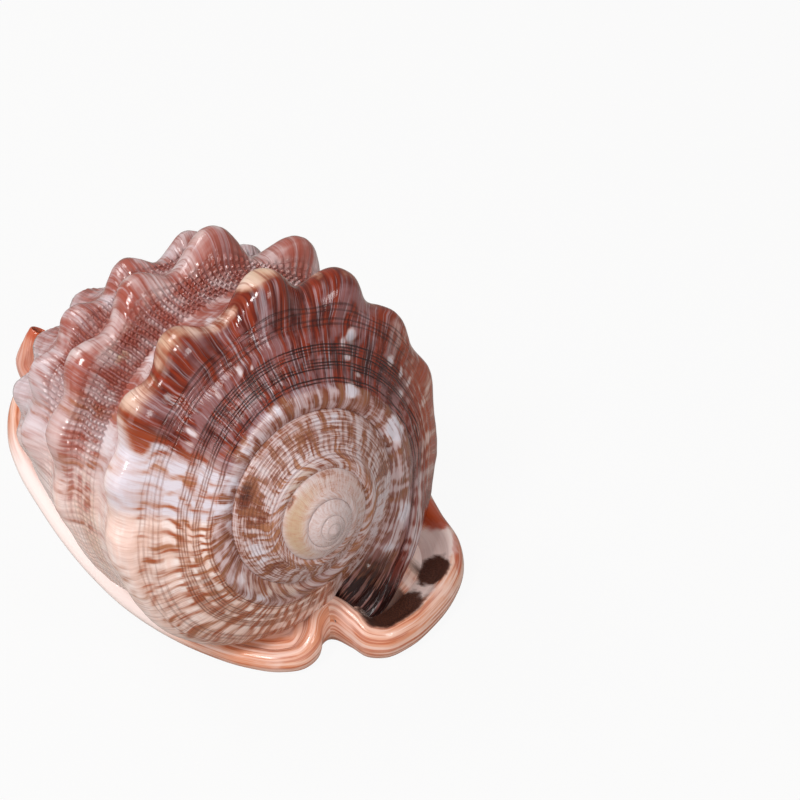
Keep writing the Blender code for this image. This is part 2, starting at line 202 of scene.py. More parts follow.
def smooth_curve(where, places, values):
    """Cubic through the knots, with tangents from the neighbouring knots."""
    where = np.asarray(where, float)
    places = np.asarray(places, float)
    values = np.asarray(values, float)
    gaps = np.diff(places)
    slopes = np.diff(values) / gaps
    inner = (slopes[1:] * gaps[:-1] + slopes[:-1] * gaps[1:]) / (gaps[1:] + gaps[:-1])
    tangents = np.concatenate([slopes[:1], inner, slopes[-1:]])
    k = np.clip(np.searchsorted(places, where, side="right") - 1, 0, len(gaps) - 1)
    h = gaps[k]
    u = (where - places[k]) / h
    return (
        (2 * u**3 - 3 * u**2 + 1) * values[k]
        + (u**3 - 2 * u**2 + u) * h * tangents[k]
        + (3 * u**2 - 2 * u**3) * values[k + 1]
        + (u**3 - u**2) * h * tangents[k + 1]
    )


def table_curves(where, rows):
    """Smooth values of the later columns where the first column is at `where`, held at both ends."""
    knots = np.array(rows, float)
    held = np.clip(where, knots[0, 0], knots[-1, 0])
    return [smooth_curve(held, knots[:, 0], column) for column in knots[:, 1:].T]


def lengths_along(points):
    """Length of a line of points up to each of them."""
    steps = np.linalg.norm(np.diff(points, axis=0), axis=1)
    return np.concatenate([[0.0], np.cumsum(steps)])


def unit(directions):
    return directions / np.linalg.norm(directions, axis=-1, keepdims=True)


def ease(value):
    value = np.clip(value, 0.0, 1.0)
    return value * value * (3 - 2 * value)


def between(value, low, high, soft):
    """1 from low to high, falling smoothly to 0 over soft on each side."""
    return ease((value - low + soft) / soft) * ease((high + soft - value) / soft)


def wander(*where):
    """Smooth noise from -1 to 1 in one or two directions, one change per unit."""
    x = np.asarray(where[0], float)
    y = np.asarray(where[1], float) if len(where) > 1 else np.zeros_like(x)
    x, y = np.broadcast_arrays(x, y)
    column = np.floor(x)
    row = np.floor(y)
    across = ease(x - column)
    down = ease(y - row)

    def corner(i, j):
        value = np.sin(i * 127.1 + j * 311.7 + 17.3) * 43758.5453
        return 2 * (value - np.floor(value)) - 1

    top = corner(column, row) * (1 - across) + corner(column + 1, row) * across
    low = corner(column, row + 1) * (1 - across) + corner(column + 1, row + 1) * across
    return top * (1 - down) + low * down


def patches(turn, place, rows):
    """Soft patches: turn, place, reach along each, weight. Where they overlap the strongest one counts."""
    found = np.zeros(np.broadcast(turn, place).shape)
    for at_turn, at_place, reach_turn, reach_place, weight in rows:
        away = ((turn - at_turn) / reach_turn) ** 2 + ((place - at_place) / reach_place) ** 2
        found = np.maximum(found, weight * np.exp(-away * away))
    return found


def knob_height(turn, place):
    height = np.zeros(np.broadcast(turn, place).shape)
    for row_place, spread, width, knobs in KNOB_ROWS:
        for angle, top in knobs:
            across = (turn - (90.0 - angle) / 360.0) / spread
            down = (place - row_place) / width
            height += top * np.exp(-((across**2 + down**2) ** 1.15))
    return height


def plain_point(turn, place, relief=0.0):
    """Points of the coiled body; relief is in metres and stands off it."""
    # the turn's own fullness, which fades in below the suture
    (factor,) = table_curves(turn, FULLNESS)
    early = ease((-0.15 - turn) / 0.2)
    late = ease((turn - 0.24) / 0.1)
    begin = 0.16 - 0.11 * early - 0.09 * late
    begun = ease((turn - START_TURN + 0.03) / 0.03)
    factor = 1 + (factor - 1) * ease((place - begin) / 0.16) * begun
    factor = factor + 0.05 * np.exp(-(((turn + 0.17) / 0.10) ** 2)) * ease((place - 0.58) / 0.12)
    size = SHOULDER * GROWTH**turn * factor
    # knobs and relief stand off the profile at right angles
    radius, along = table_curves(place, PROFILE)
    step = 0.001
    radius_a, along_a = table_curves(place - step, PROFILE)
    radius_b, along_b = table_curves(place + step, PROFILE)
    length = np.hypot(radius_b - radius_a, along_b - along_a)
    height = knob_height(turn, place) * (turn > START_TURN - 0.1) + relief / size
    radius = radius + height * (along_b - along_a) / length
    along = along - height * (radius_b - radius_a) / length
    # every turn ends at the same canal, and the last one swells where the lip leaves it
    front = ease((place - 0.40) / 0.60)
    down_axis = along * (size * (1 - front) + SHOULDER * front)
    swell = LIP_SWELL * ease((turn - 0.29) / 0.10) + END_SWELL * ease((turn - 0.38) / 0.06)
    down_axis = down_axis - swell * np.exp(-(((place - 0.12) / 0.065) ** 2))
    out = radius * size
    # round the axis, and pressed up where it would come too near the table
    angle = math.radians(90.0) - 2 * math.pi * turn
    drop = np.maximum(-np.sin(angle), 0.05) * math.cos(PITCH)
    gap = TABLE_GAP + EARLY_LIFT * early
    droop = FRONT_DROOP * ease((place - 0.62) / 0.38)
    room = (APEX[2] - gap - droop - down_axis * math.sin(PITCH)) / drop
    spare = (room - out) / TABLE_SOFTNESS
    out = out + TABLE_SOFTNESS * (np.minimum(spare, 0.0) - np.log1p(np.exp(-np.abs(spare))))
    x = APEX[0] + out * np.cos(angle)
    y = APEX[1] + out * np.sin(angle) * math.sin(PITCH) + down_axis * math.cos(PITCH)
    z = APEX[2] + out * np.sin(angle) * math.cos(PITCH) - down_axis * math.sin(PITCH) - droop
    return np.stack([x, y, z], axis=-1)


def strayed(turn, place):
    """Place on the whorl with the stray of the cords taken out."""
    (drift,) = table_curves(turn, DRIFT)
    calm = ease(place / 0.05) * (1 - ease((place - 0.10) / 0.07)) * ease((turn - START_TURN) / 0.1)
    return place - drift * calm


def cord_number(place):
    return np.interp(place, *np.array(CORDS).T)


def growth_of(turn, place):
    """Turn at which this spot was grown: growth lines lean forwards near the suture."""
    lean = 0.022 * (1 - ease(place / 0.075)) * (0.4 + 2.0 * ease((-turn - 0.15) / 0.2))
    ripple = 0.006 * wander(place * 9, turn * 2) + 0.002 * wander(place * 40, turn * 14)
    return turn - lean + ripple * ease(place / 0.1)


def bead_strength(turn, place):
    """Where cords and ribs cross into beads."""
    belt = between(place, 0.405, 0.492, 0.018) + 0.9 * between(place, 0.588, 0.618, 0.012)
    belt = belt + 0.45 * between(place, 0.715, 0.755, 0.02)
    span = 0.15 + 0.85 * ease((turn + 0.20) / 0.06)
    knobs = np.clip(1 - 7 * knob_height(turn, place), 0.25, 1)
    return belt * span * knobs


def rope_share(turn, place):
    """Where the end of the last turn is wrinkled along the whorl, like twisted rope."""
    return ease((turn - 0.10) / 0.14) * (1 - ease((place - 0.13) / 0.05))


def relief(turn, place):
    """Height of cords, beads and growth stages in metres."""
    grown = growth_of(turn, place)
    cord = np.cos(2 * math.pi * cord_number(place))
    rib = np.cos(2 * math.pi * grown / RIB_PITCH)
    bead = bead_strength(turn, place)
    stage = wander(grown * 55, place * 3) * 0.5 + wander(grown * 140, place * 5) * 0.5
    calm = ease(place / 0.02) * ease((1 - place) / 0.05)
    size = np.clip(GROWTH**turn, 0.05, 1)
    rib = rib * (0.75 + 0.45 * wander(grown * 60, place * 18))
    height = bead * (0.24 * cord + 0.34 * rib + 0.20 * cord * rib)
    strand = np.cos(2 * math.pi * (42 * place + 0.9 * wander(turn * 16, place * 9)))
    height = height + 0.20 * rope_share(turn, place) * strand * (1 + 0.7 * wander(turn * 40, place * 30))
    height = height + (0.13 + 0.10 * ease((place - 0.2) / 0.1)) * stage
    return height * calm * size * MM


def inside_box(points):
    """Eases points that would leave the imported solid's box back inside it."""
    soft = 0.25 * MM
    low = np.array(CAD_LOW)
    high = np.array(CAD_HIGH)
    points = high - soft * np.logaddexp(0.0, (high - points) / soft)
    return low + soft * np.logaddexp(0.0, (points - low) / soft)


def body_point(turn, place):
    """Points of the finished coil. At the suture each turn starts on the turn before it."""
    turn, place = np.broadcast_arrays(np.asarray(turn, float), np.asarray(place, float))
    ends = np.full_like(turn, NEXT_SUTURE)
    found = plain_point(turn, place, relief(turn, place))
    held = plain_point(turn - 1, ends, relief(turn - 1, ends))
    apex = START_TURN - SPIRE_TURNS
    held = np.where((turn < apex + 1)[..., None], plain_point(np.array(apex - 4.0), np.array(0.0)), held)
    begins = plain_point(turn, np.zeros_like(turn), 0.0)
    share = (1 - ease(place / 0.05))[..., None]
    return inside_box(found + (held - begins) * share)


def body_normal(turn, place):
    """Outward directions of the coil's surface."""
    step = 2e-4
    along = body_point(turn + step, place) - body_point(turn - step, place)
    down = body_point(turn, np.minimum(place + step, 1.0)) - body_point(turn, np.maximum(place - step, 0.0))
    return unit(np.cross(along, down))


# How brown each belt of the last turn is, from its start to the lip: middle of the belt, then turns and
# shares.
BELTS = (
    (0.0, ((-0.6, 0.55), (-0.38, 0.6), (-0.12, 0.44), (0.0, 0.55), (0.16, 0.68), (0.24, 0.55),
        (0.5, 0.6))),
    (0.11, ((-0.6, 0.86), (-0.42, 0.86), (-0.36, 0.8), (-0.32, 0.95), (-0.28, 0.78), (-0.2, 0.66),
        (-0.135, 0.58), (-0.095, 0.84), (0.0, 0.92), (0.12, 0.98), (0.5, 0.92))),
    (0.185, ((-0.6, 0.8), (-0.47, 0.96), (-0.41, 0.86), (-0.36, 0.74), (-0.3, 0.72), (-0.22, 0.68),
        (-0.19, 0.5), (-0.15, 0.34), (-0.12, 0.88), (-0.04, 0.88), (0.12, 0.92), (0.17, 0.96),
        (0.5, 0.96))),
    (0.25, ((-0.6, 0.7), (-0.46, 0.7), (-0.41, 0.5), (-0.35, 0.26), (-0.3, 0.14), (-0.17, 0.14),
        (-0.15, 0.1), (-0.125, 0.8), (0.02, 0.86), (0.1, 0.88), (0.18, 0.94), (0.5, 0.94))),
    (0.34, ((-0.6, 0.35), (-0.34, 0.12), (-0.2, 0.34), (-0.165, 0.3), (-0.135, 0.84), (0.02, 0.88),
        (0.18, 0.95), (0.5, 0.95))),
    (0.45, ((-0.6, 0.3), (-0.4, 0.1), (-0.28, 0.22), (-0.21, 0.58), (-0.14, 0.76), (0.0, 0.7),
        (0.12, 0.62), (0.25, 0.78), (0.5, 0.85))),
    (0.6, ((-0.6, 0.2), (-0.4, 0.1), (-0.28, 0.22), (-0.21, 0.6), (-0.14, 0.74), (-0.05, 0.76),
        (0.1, 0.7), (0.25, 0.76), (0.5, 0.8))),
    (0.85, ((-0.6, 0.15), (-0.35, 0.12), (-0.2, 0.5), (0.1, 0.68), (0.3, 0.68), (0.5, 0.72))),
)
# Patches on top of the belts: turn, place, reach along each, weight.
BROWN = (
    (-0.138, 0.234, 0.013, 0.02, 0.9), (-0.085, 0.222, 0.016, 0.016, 0.6),
    (-0.04, 0.22, 0.012, 0.018, 0.4), (0.002, 0.236, 0.016, 0.02, 0.8),
    (0.06, 0.245, 0.022, 0.028, 0.5), (-0.178, 0.478, 0.018, 0.026, 0.9),
    (-0.195, 0.498, 0.016, 0.01, 0.7), (-0.12, 0.506, 0.028, 0.012, 0.8),
    (-0.1, 0.445, 0.012, 0.03, 0.35), (-0.235, 0.424, 0.04, 0.013, 0.4),
    (-0.225, 0.456, 0.045, 0.01, 0.42), (-0.215, 0.484, 0.035, 0.01, 0.45),
    (-0.3, 0.44, 0.03, 0.01, 0.22), (-0.225, 0.6, 0.02, 0.06, 0.25), (0.005, 0.47, 0.016, 0.022, 0.4),
    (0.06, 0.548, 0.014, 0.014, 0.6), (0.128, 0.545, 0.014, 0.014, 0.6),
    (-1.145, 0.19, 0.03, 0.035, 1.0), (-1.18, 0.13, 0.03, 0.05, 0.7), (-2.11, 0.215, 0.03, 0.025, 0.9),
    (-1.95, 0.2, 0.035, 0.04, 0.7), (-1.9, 0.12, 0.16, 0.1, 0.3), (-1.8, 0.205, 0.05, 0.035, 0.6),
    (-1.34, 0.11, 0.03, 0.06, 0.5), (-0.76, 0.15, 0.02, 0.06, 0.4), (0.43, 0.08, 0.05, 0.09, 1.0),
)
WHITE = (
    (-0.68, 0.14, 0.06, 0.1, 0.34), (-0.155, 0.35, 0.012, 0.12, 0.3), (-0.165, 0.15, 0.022, 0.024, 0.3),
    (0.21, 0.034, 0.018, 0.022, 1.3), (0.108, 0.044, 0.014, 0.014, 1.0),
    (-0.02, 0.044, 0.012, 0.014, 0.6), (-0.08, 0.036, 0.012, 0.018, 0.8),
    (-0.385, 0.05, 0.012, 0.025, 0.7), (-0.32, 0.03, 0.012, 0.02, 0.5),
    (0.103, 0.15, 0.006, 0.018, 1.0), (0.093, 0.135, 0.003, 0.012, 0.7),
    (0.162, 0.135, 0.005, 0.014, 0.9), (0.182, 0.135, 0.004, 0.012, 0.9),
    (0.198, 0.137, 0.003, 0.012, 0.7), (0.115, 0.076, 0.006, 0.006, 0.8),
    (0.1, 0.107, 0.008, 0.006, 0.8), (0.195, 0.1, 0.006, 0.008, 0.6),
    (-0.03, 0.152, 0.003, 0.016, 0.65), (-0.018, 0.146, 0.002, 0.012, 0.55),
    (-0.107, 0.15, 0.003, 0.016, 0.75), (-0.118, 0.144, 0.002, 0.012, 0.55),
    (-0.062, 0.15, 0.002, 0.012, 0.5), (-0.062, 0.38, 0.016, 0.02, 0.6), (-0.07, 0.33, 0.01, 0.04, 0.4),
    (-0.015, 0.35, 0.008, 0.05, 0.35), (0.35, 0.12, 0.06, 0.03, 0.55), (0.33, 0.05, 0.012, 0.02, 0.9),
    (0.375, 0.035, 0.01, 0.014, 0.6), (-1.28, 0.14, 0.04, 0.04, 0.5), (-1.06, 0.05, 0.04, 0.02, 0.5),
    (-0.93, 0.19, 0.03, 0.03, 0.5),
)
DARK = (
    (0.02, 0.095, 0.08, 0.045, 0.55), (0.12, 0.105, 0.07, 0.05, 0.8), (-0.07, 0.11, 0.04, 0.04, 0.25),
    (0.16, 0.16, 0.03, 0.04, 0.45), (0.05, 0.19, 0.06, 0.03, 0.3), (0.455, 0.11, 0.05, 0.13, 3.0),
    (0.41, 0.04, 0.03, 0.04, 0.9), (-0.33, 0.11, 0.05, 0.03, 0.25), (-1.145, 0.192, 0.026, 0.03, 0.95),
    (-2.11, 0.218, 0.022, 0.018, 0.7),
)
ORANGE = (
    (0.215, 0.215, 0.07, 0.09, 0.8), (0.25, 0.2, 0.08, 0.1, 1.0), (0.28, 0.36, 0.1, 0.18, 0.8),
    (-0.23, 0.14, 0.09, 0.08, 1.0), (-0.18, 0.09, 0.06, 0.06, 0.9), (-0.44, 0.18, 0.07, 0.06, 0.8),
    (-0.24, 0.44, 0.07, 0.06, 0.9), (-0.24, 0.6, 0.05, 0.08, 0.8), (-0.14, 0.236, 0.02, 0.03, 0.5),
    (-0.178, 0.49, 0.025, 0.03, 0.6), (-0.12, 0.506, 0.028, 0.02, 0.5), (0.0, 0.48, 0.04, 0.03, 0.4),
)
CREAM = (
    (-0.25, 0.43, 0.06, 0.04, 0.4), (-0.087, 0.456, 0.012, 0.016, 1.0),
    (-0.105, 0.44, 0.008, 0.01, 0.8), (0.005, 0.462, 0.01, 0.012, 0.8), (-0.06, 0.492, 0.03, 0.01, 0.6),
    (-2.2, 0.13, 0.2, 0.09, 0.9), (-0.4, 0.02, 0.08, 0.03, 0.5), (-1.05, 0.02, 0.06, 0.04, 0.5),
)


def within(place, bands):
    """How far each spot lies in any of the bands: low, high, softness."""
    return sum(between(place, *band) for band in bands)


def belt_share(turn, place):
    """How brown the belts make each spot."""
    middles = np.array([row[0] for row in BELTS])
    shares = np.stack([np.interp(turn, *np.array(row[1]).T) for row in BELTS])
    step = np.interp(place, middles, np.arange(len(middles)))
    low = np.clip(np.floor(step).astype(int), 0, len(middles) - 2)
    mixed = ease((step - low - 0.5) / 0.4 + 0.5)
    first = np.take_along_axis(shares, low[None], 0)[0]
    second = np.take_along_axis(shares, low[None] + 1, 0)[0]
    return first + (second - first) * mixed


def coil_tones(turn, place):
    """The values that the coil's material reads, by name."""
    grown = growth_of(turn, place)
    low = strayed(turn, place)
    knobs = knob_height(turn, place)
    spire = ease((START_TURN + 0.02 - turn) / 0.06)
    last = 1 - spire
    early = ease((-1.45 - turn) / 0.40)
    smooth = ease((turn - 0.17) / 0.05) * ease((place - 0.10) / 0.04) * last
    plaid = between(turn, -0.28, -0.14, 0.02)
    ending = ease((turn - 0.36) / 0.05)
    # Worn and pale before this wavy edge, rust brown after it.
    edge = -0.135 + 0.035 * (1 - ease((low - 0.06) / 0.10)) + 0.008 * wander(place * 34, turn * 5)
    worn = ease((edge - turn) / 0.03 + 0.5) * ease((low - 0.05) / 0.02) * last

    # Spiral belts: flames at the suture, clusters of cords, faint cords, and pale windows between them.
    flame = last * between(low, -1.0, 0.054, 0.004) + spire * between(place, -1.0, 0.09, 0.02)
    turned = ease((-0.68 - turn) / 0.05) * (1 - early)
    cluster = last * within(low, CLUSTERS) + 0.8 * turned * between(place, 0.05, 0.20, 0.02)
    faint = last * within(low, FAINT_CORDS)
    window = last * within(low, WINDOWS)
    light = patches(turn, place, WHITE)
    rusty = patches(turn, place, ORANGE)

    far_tip = np.clip((knobs - 0.090) / 0.090, 0, 1)
    tip = far_tip * ease((place - 0.222) / 0.050) * (place < 0.4)
    far_tip = far_tip * ease((place - 0.50) / 0.03)
    brown = last * (belt_share(turn, low) + 0.10 * flame) + spire * (0.54 - 0.28 * early)
    brown = brown + 0.06 * cluster - (0.12 + 0.16 * worn) * window
    brown = brown - (0.50 * tip + 0.10 * far_tip) * ease((turn + 0.17) / 0.03)
    brown = brown + patches(turn, place, BROWN) - light
    swing = 0.05 + 0.16 * flame + 0.06 * cluster + 0.14 * faint + 0.10 * plaid
    swing = swing + (0.30 + 0.16 * worn) * window
    swing = swing * (1 - 0.6 * early) * (1 - 0.3 * smooth) * (1 - 0.9 * ending)

    beads = bead_strength(turn, place)
    front = within(place, FRONT_CORDS) * between(turn, -0.27, -0.17, 0.05)
    line = cluster + 0.6 * faint + 0.35 * beads + 0.25 * front
    line = line * (1 - 0.9 * early) * (1 - 0.9 * smooth)
    line = np.maximum(line, 0.5 * ending) * (1 - 0.4 * spire) * (1 - 0.40 * worn)
    drawn = 0.90 - 0.35 * worn + 0.35 * flame * last + 0.24 * spire
    warp = 1.5 * wander(grown * 15, place * 12) + 0.5 * wander(grown * 47, place * 31)
    stripes_a_turn = np.where(low < 0.056, 34.0, 62.0)
    bent = low + 0.0024 * wander(turn * 20, place * 10) + 0.0009 * wander(turn * 75, place * 40)

    beyond = ease((place - 0.27) / 0.05) * ease((turn + 0.24) / 0.06)
    dusk = last * ease((turn + 0.15) / 0.03) * between(low, 0.052, 0.235, 0.02)
    dusk = np.maximum(dusk, 0.62 * flame * last) + 0.35 * spire * (1 - 0.7 * early)
    dusk = (dusk + 0.42 * beyond) * (1 - np.clip(light, 0, 1)) * (1 - 0.7 * np.clip(rusty, 0, 1))
    cool = 0.35 * flame * last + between(turn, -0.195, -0.135, 0.015) * ease((0.30 - place) / 0.06)
    cool = cool + 0.35 * beyond + 0.35 * ease((place - 0.56) / 0.1) + light + 0.40 * spire
    # Painted shade: a dark line along the crease of the suture, where one turn meets the next.
    seam = spire * (0.3 + 0.7 * early) * (ease((0.010 - place) / 0.010) + ease((place - 0.230) / 0.006))
    inky = np.maximum(ease((turn + 0.17) / 0.08), 0.6 * ease((-0.27 - turn) / 0.05)) * last + 0.4 * spire
    levels = {
        "growth": grown,
        "place": place,
        "stripe": grown * stripes_a_turn + warp,
        "cord": 60 * place * spire + last * cord_number(bent),
        "brown": brown,
        "swing": swing,
        "drawn": drawn * (1 - 0.55 * early) * (1 - 0.7 * ending),
        "thin": -0.10 - 0.26 * worn - 0.16 * np.clip(flame + spire, 0, 1),
        "dark": patches(turn, place, DARK),
    }
    shares = {
        "line": line,
        "inky": inky * (1 - early),
        "banded": last * rope_share(turn, place) + 0.4 * spire * (1 - 0.5 * early),
        "bead": beads,
        "strong": 1 - 0.16 * worn - 0.12 * ease((place - 0.48) / 0.06) - 0.25 * early,
        "ochre": 0.8 * worn + 0.5 * flame + 0.5 * spire,
        "dusk": dusk,
        "cream": 0.75 * tip + 0.15 * far_tip + patches(turn, place, CREAM),
        "orange": rusty + 0.5 * far_tip + 0.25 * spire + 0.8 * worn * (low > 0.04),
        "rose": ease((place - 0.28) / 0.04),
        "tan": 0.9 * flame * last + 0.75 * spire,
        "pearl": early + 0.4 * spire,
        "cool": cool,
        "seam": seam + 0.15 * last * ease((0.006 - place) / 0.006),
    }
    return levels | {name: np.clip(share, 0, 1) for name, share in shares.items()}


def linear(hexed):
    """An sRGB colour in hex as linear red, green, blue and alpha."""
    values = []
    for k in (1, 3, 5):
        value = int(hexed[k:k + 2], 16) / 255
        values.append(value / 12.92 if value <= 0.04045 else ((value + 0.055) / 1.055) ** 2.4)
    return (*values, 1.0)


def node(tree, kind, inputs=None, out=0, **settings):
    """Adds a node with its settings; each input is a value or the output that feeds it."""
    made = tree.nodes.new("ShaderNode" + kind)
    for name, value in settings.items():
        setattr(made, name, value)
    for socket, value in (inputs or {}).items():
        if isinstance(value, bpy.types.NodeSocket):
            tree.links.new(value, made.inputs[socket])
        else:
            made.inputs[socket].default_value = value
    return made if out is None or not made.outputs else made.outputs[out]


def fresh_material(name):
    made = bpy.data.materials.new(name)
    made.use_nodes = True
    made.node_tree.nodes.clear()
    return made, made.node_tree


def growth_marks(tree, along, down, roughness, rows):
    """Noise stretched over two of the mesh's values: name, changes along, changes down, detail."""
    marks = {}
    for name, often_along, often_down, detail in rows:
        ahead = node(tree, "Math", {0: along, 1: often_along}, operation="MULTIPLY")
        aside = node(tree, "Math", {0: down, 1: often_down}, operation="MULTIPLY")
        where = node(tree, "CombineXYZ", {0: ahead, 1: aside})
        marks[name] = node(
            tree, "TexNoise", {"Vector": where, "Scale": 1.0, "Detail": detail, "Roughness": roughness},
            noise_dimensions="2D")
    return marks


def glazes(tree, colour, layers):
    """Lays tints over the colour one by one: tint, its share, and the masks inside which it lies."""
    for tint, share, *masks in layers:
        for mask in masks:
            share = node(tree, "Math", {0: mask, 1: share}, operation="MULTIPLY")
        colour = node(tree, "Mix", {0: share, 6: colour, 7: tint}, out=2, data_type="RGBA")
    return colour


def gloss(tree, colour, heights, strength, depth, roughness):
    """The natural gloss of shell over the colour, with the sum of the heights as fine relief."""
    sums = []
    for parts in (heights, roughness):
        total = 0.0
        for value, weight in parts:
            total = node(tree, "Math", {0: value, 1: weight, 2: total}, operation="MULTIPLY_ADD")
        sums.append(total)
    shader = node(tree, "BsdfPrincipled", {
        "Base Color": colour,
        "Roughness": sums[1],
        "IOR": SHELL_IOR,
        "Specular IOR Level": SHELL_SHINE,
        "Normal": node(tree, "Bump", {"Height": sums[0], "Strength": strength, "Distance": depth * MM}),
    })
    node(tree, "OutputMaterial", {0: shader})


def glazed_coil(colours):
    """Aragonite laid down growth by growth and glazed: fine growth lines and cords under a wet gloss."""
    made, tree = fresh_material("glazed_coil_shell")
    read = {}
    for name in (
        "growth", "place", "stripe", "cord", "line", "inky", "banded", "bead", "brown", "swing", "drawn",
        "dark", "strong", "thin", "ochre", "dusk", "cream", "orange", "rose", "tan", "pearl", "cool",
        "seam",
    ):
        read[name] = node(tree, "Attribute", out=2, attribute_name=name)

    # Growth marks, by their width round the last turn in mm and their changes down the whorl.
    marks = growth_marks(tree, read["growth"], read["place"], 0.6, (
        ("flames", ROUND_MM / 4.4, 9.0, 1.0),
        ("stripes", ROUND_MM / 1.5, 12.0, 2.0),
        ("hairs", ROUND_MM / 0.6, 14.0, 2.0),
        ("threads", ROUND_MM / 0.7, 7.0, 3.0),
        ("bands", ROUND_MM / 13.0, 170.0, 3.0),
        ("clouds", ROUND_MM / 17.0, 30.0, 3.0),
    ))
    # Where the whorl is wrinkled like rope, the marks run along it.
    for name in ("stripes", "hairs", "threads"):
        marks[name] = node(tree, "Mix", {0: read["banded"], 2: marks[name], 3: marks["bands"]})

    # Brown or pale: the belts, a wavy stripe and the growth marks.
    angle = node(tree, "Math", {0: read["stripe"], 1: 2 * math.pi}, operation="MULTIPLY")
    wave = node(tree, "Math", {0: angle}, operation="SINE")
    tone = node(tree, "Math", {0: wave, 1: read["swing"], 2: read["brown"]}, operation="MULTIPLY_ADD")
    for name, where, weight in (
        ("flames", "drawn", 2.3),
        ("stripes", "drawn", 0.45),
        ("clouds", "drawn", 1.5),
        ("hairs", "drawn", 0.20),
        ("bands", "banded", 2.4),
    ):
        centred = node(tree, "Math", {0: marks[name], 1: 0.5}, operation="SUBTRACT")
        scaled = node(tree, "Math", {0: centred, 1: read[where]}, operation="MULTIPLY")
        tone = node(tree, "Math", {0: scaled, 1: weight, 2: tone}, operation="MULTIPLY_ADD")
    painted = node(tree, "MapRange", {0: tone, 1: -0.12, 2: 1.12, 3: 0.0, 4: 1.0})

    # Grooves between cords: the cord number is halfway between two whole numbers on a cord's top.
    part = node(tree, "Math", {0: read["cord"]}, operation="FRACT")
    off = node(tree, "Math", {0: part, 1: 0.5}, operation="SUBTRACT")
    to_groove = node(tree, "Math", {0: off}, operation="ABSOLUTE")
    masks = {}
    for name, value, low, high in (
        ("sparse", marks["stripes"], 0.62, 0.36),
        ("ochred", marks["flames"], 0.45, 0.70),
        ("cloudy", marks["clouds"], 0.35, 0.65),
        ("ruddy", marks["stripes"], 0.35, 0.68),
        ("shaded", marks["stripes"], 0.70, 0.35),
        ("haired", marks["hairs"], 0.50, 0.68),
        ("veiled", marks["threads"], 0.52, 0.72),
        ("unbroken", marks["bands"], 0.32, 0.56),
        ("groove_shade", to_groove, 0.30, 0.12),
    ):
        levels = {0: value, 1: low, 2: high, 3: 0.0, 4: 1.0}
        masks[name] = node(tree, "MapRange", levels, interpolation_type="SMOOTHSTEP")
    # The shell's dark spiral lines lie in the grooves between cords; darkening them there is also painted
    # shade.
    grooved = node(tree, "Math", {0: masks["groove_shade"], 1: masks["unbroken"]}, operation="MULTIPLY")
    line_and_groove_shade = node(tree, "Math", {0: grooved, 1: read["line"]}, operation="MULTIPLY", use_clamp=True)

    # Gaps round the beads: everywhere but where a rib crosses the top of a cord. Their darker brown-red is
    # partly the shell's colour and partly painted shade.
    turned = node(tree, "Math", {0: read["growth"], 1: 2 * math.pi / RIB_PITCH}, operation="MULTIPLY")
    rib = node(tree, "Math", {0: turned}, operation="COSINE")
    ribbed = node(tree, "Math", {0: rib, 1: 0.5, 2: 0.5}, operation="MULTIPLY_ADD")
    flat = node(tree, "Math", {0: 1.0, 1: masks["groove_shade"]}, operation="SUBTRACT")
    crown = node(tree, "Math", {0: ribbed, 1: flat}, operation="MULTIPLY")
    low_spot = node(tree, "Math", {0: 1.0, 1: crown}, operation="SUBTRACT")
    gap = node(tree, "Math", {0: low_spot, 1: read["bead"]}, operation="MULTIPLY", use_clamp=True)

    # How much brown covers each spot, thin or thick; the finest threads always carry a little.
    thinned = node(tree, "Math", {0: masks["sparse"], 1: read["thin"], 2: 1.0}, operation="MULTIPLY_ADD")
    covered = node(tree, "Math", {0: painted, 1: read["strong"]}, operation="MULTIPLY")
    covered = node(tree, "Math", {0: covered, 1: thinned}, operation="MULTIPLY")
    hazed = node(tree, "Math", {0: masks["veiled"], 1: 0.20}, operation="MULTIPLY")
    covered = node(tree, "Math", {0: covered, 1: hazed}, operation="MAXIMUM")
    glaze = node(tree, "MapRange", {0: covered, 1: 0.10, 2: 0.76, 3: 0.0, 4: 1.0})
    levels = {0: covered, 1: 0.34, 2: 0.96, 3: 0.0, 4: 1.0}
    thick = node(tree, "MapRange", levels, interpolation_type="SMOOTHSTEP")

    pale = glazes(tree, colours.blush, (
        (colours.pale_blush, 1.0, masks["cloudy"]),
        (colours.pearl, 1.0, read["pearl"]),
        (colours.dusk, 1.0, read["dusk"]),
        (colours.lavender, 1.0, read["cool"]),
        (colours.cream, 1.0, read["cream"]),
    ))
    # Thin brown glaze shows amber; only the thick layers reach their full red.
    warm = glazes(tree, colours.amber, (
        (colours.blossom, 1.0, read["rose"]),
        (colours.dusk, 1.0, read["dusk"]),
    ))
    red = glazes(tree, colours.dark_red, (
        (colours.rust, 1.0, masks["ruddy"]),
        (colours.orange, 0.85, read["orange"]),
        (colours.rose, 0.80, read["rose"]),
        (colours.tan, 0.85, read["tan"]),
        (colours.ochre, 1.0, masks["ochred"], read["ochre"]),
    ))
    # Colour of the spiral lines in the cord grooves, partly painted shade.
    line_and_shade_colour = glazes(tree, colours.plaid, ((colours.ink, 1.0, read["inky"]),))
    colour = glazes(tree, pale, (
        (warm, 1.0, glaze),
        (red, 1.0, thick),
        (colours.lavender, 0.35, masks["veiled"], read["cool"]),
        (colours.ink, 1.0, read["dark"], masks["shaded"]),
        (colours.lavender, 0.32, masks["veiled"], read["dusk"]),
        (colours.hairline, 0.45, masks["haired"], read["inky"]),
        (colours.orange, 0.12, masks["haired"]),
        # dark spiral lines in the cord grooves, partly painted shade
        (line_and_shade_colour, 0.90, line_and_groove_shade),
        # brown-red round the beads, partly painted shade
        (colours.groove_shade, 0.50, gap),
        # painted shade in the crease of the suture
        (colours.seam, 0.75, read["seam"], masks["unbroken"]),
    ))
    heights = ((marks["hairs"], 0.25), (marks["stripes"], 0.7), (line_and_groove_shade, -0.9), (gap, -1.6))
    gloss(tree, colour, heights, 1.0, 0.22, ((marks["hairs"], 0.16), (1.0, 0.05)))
    return made


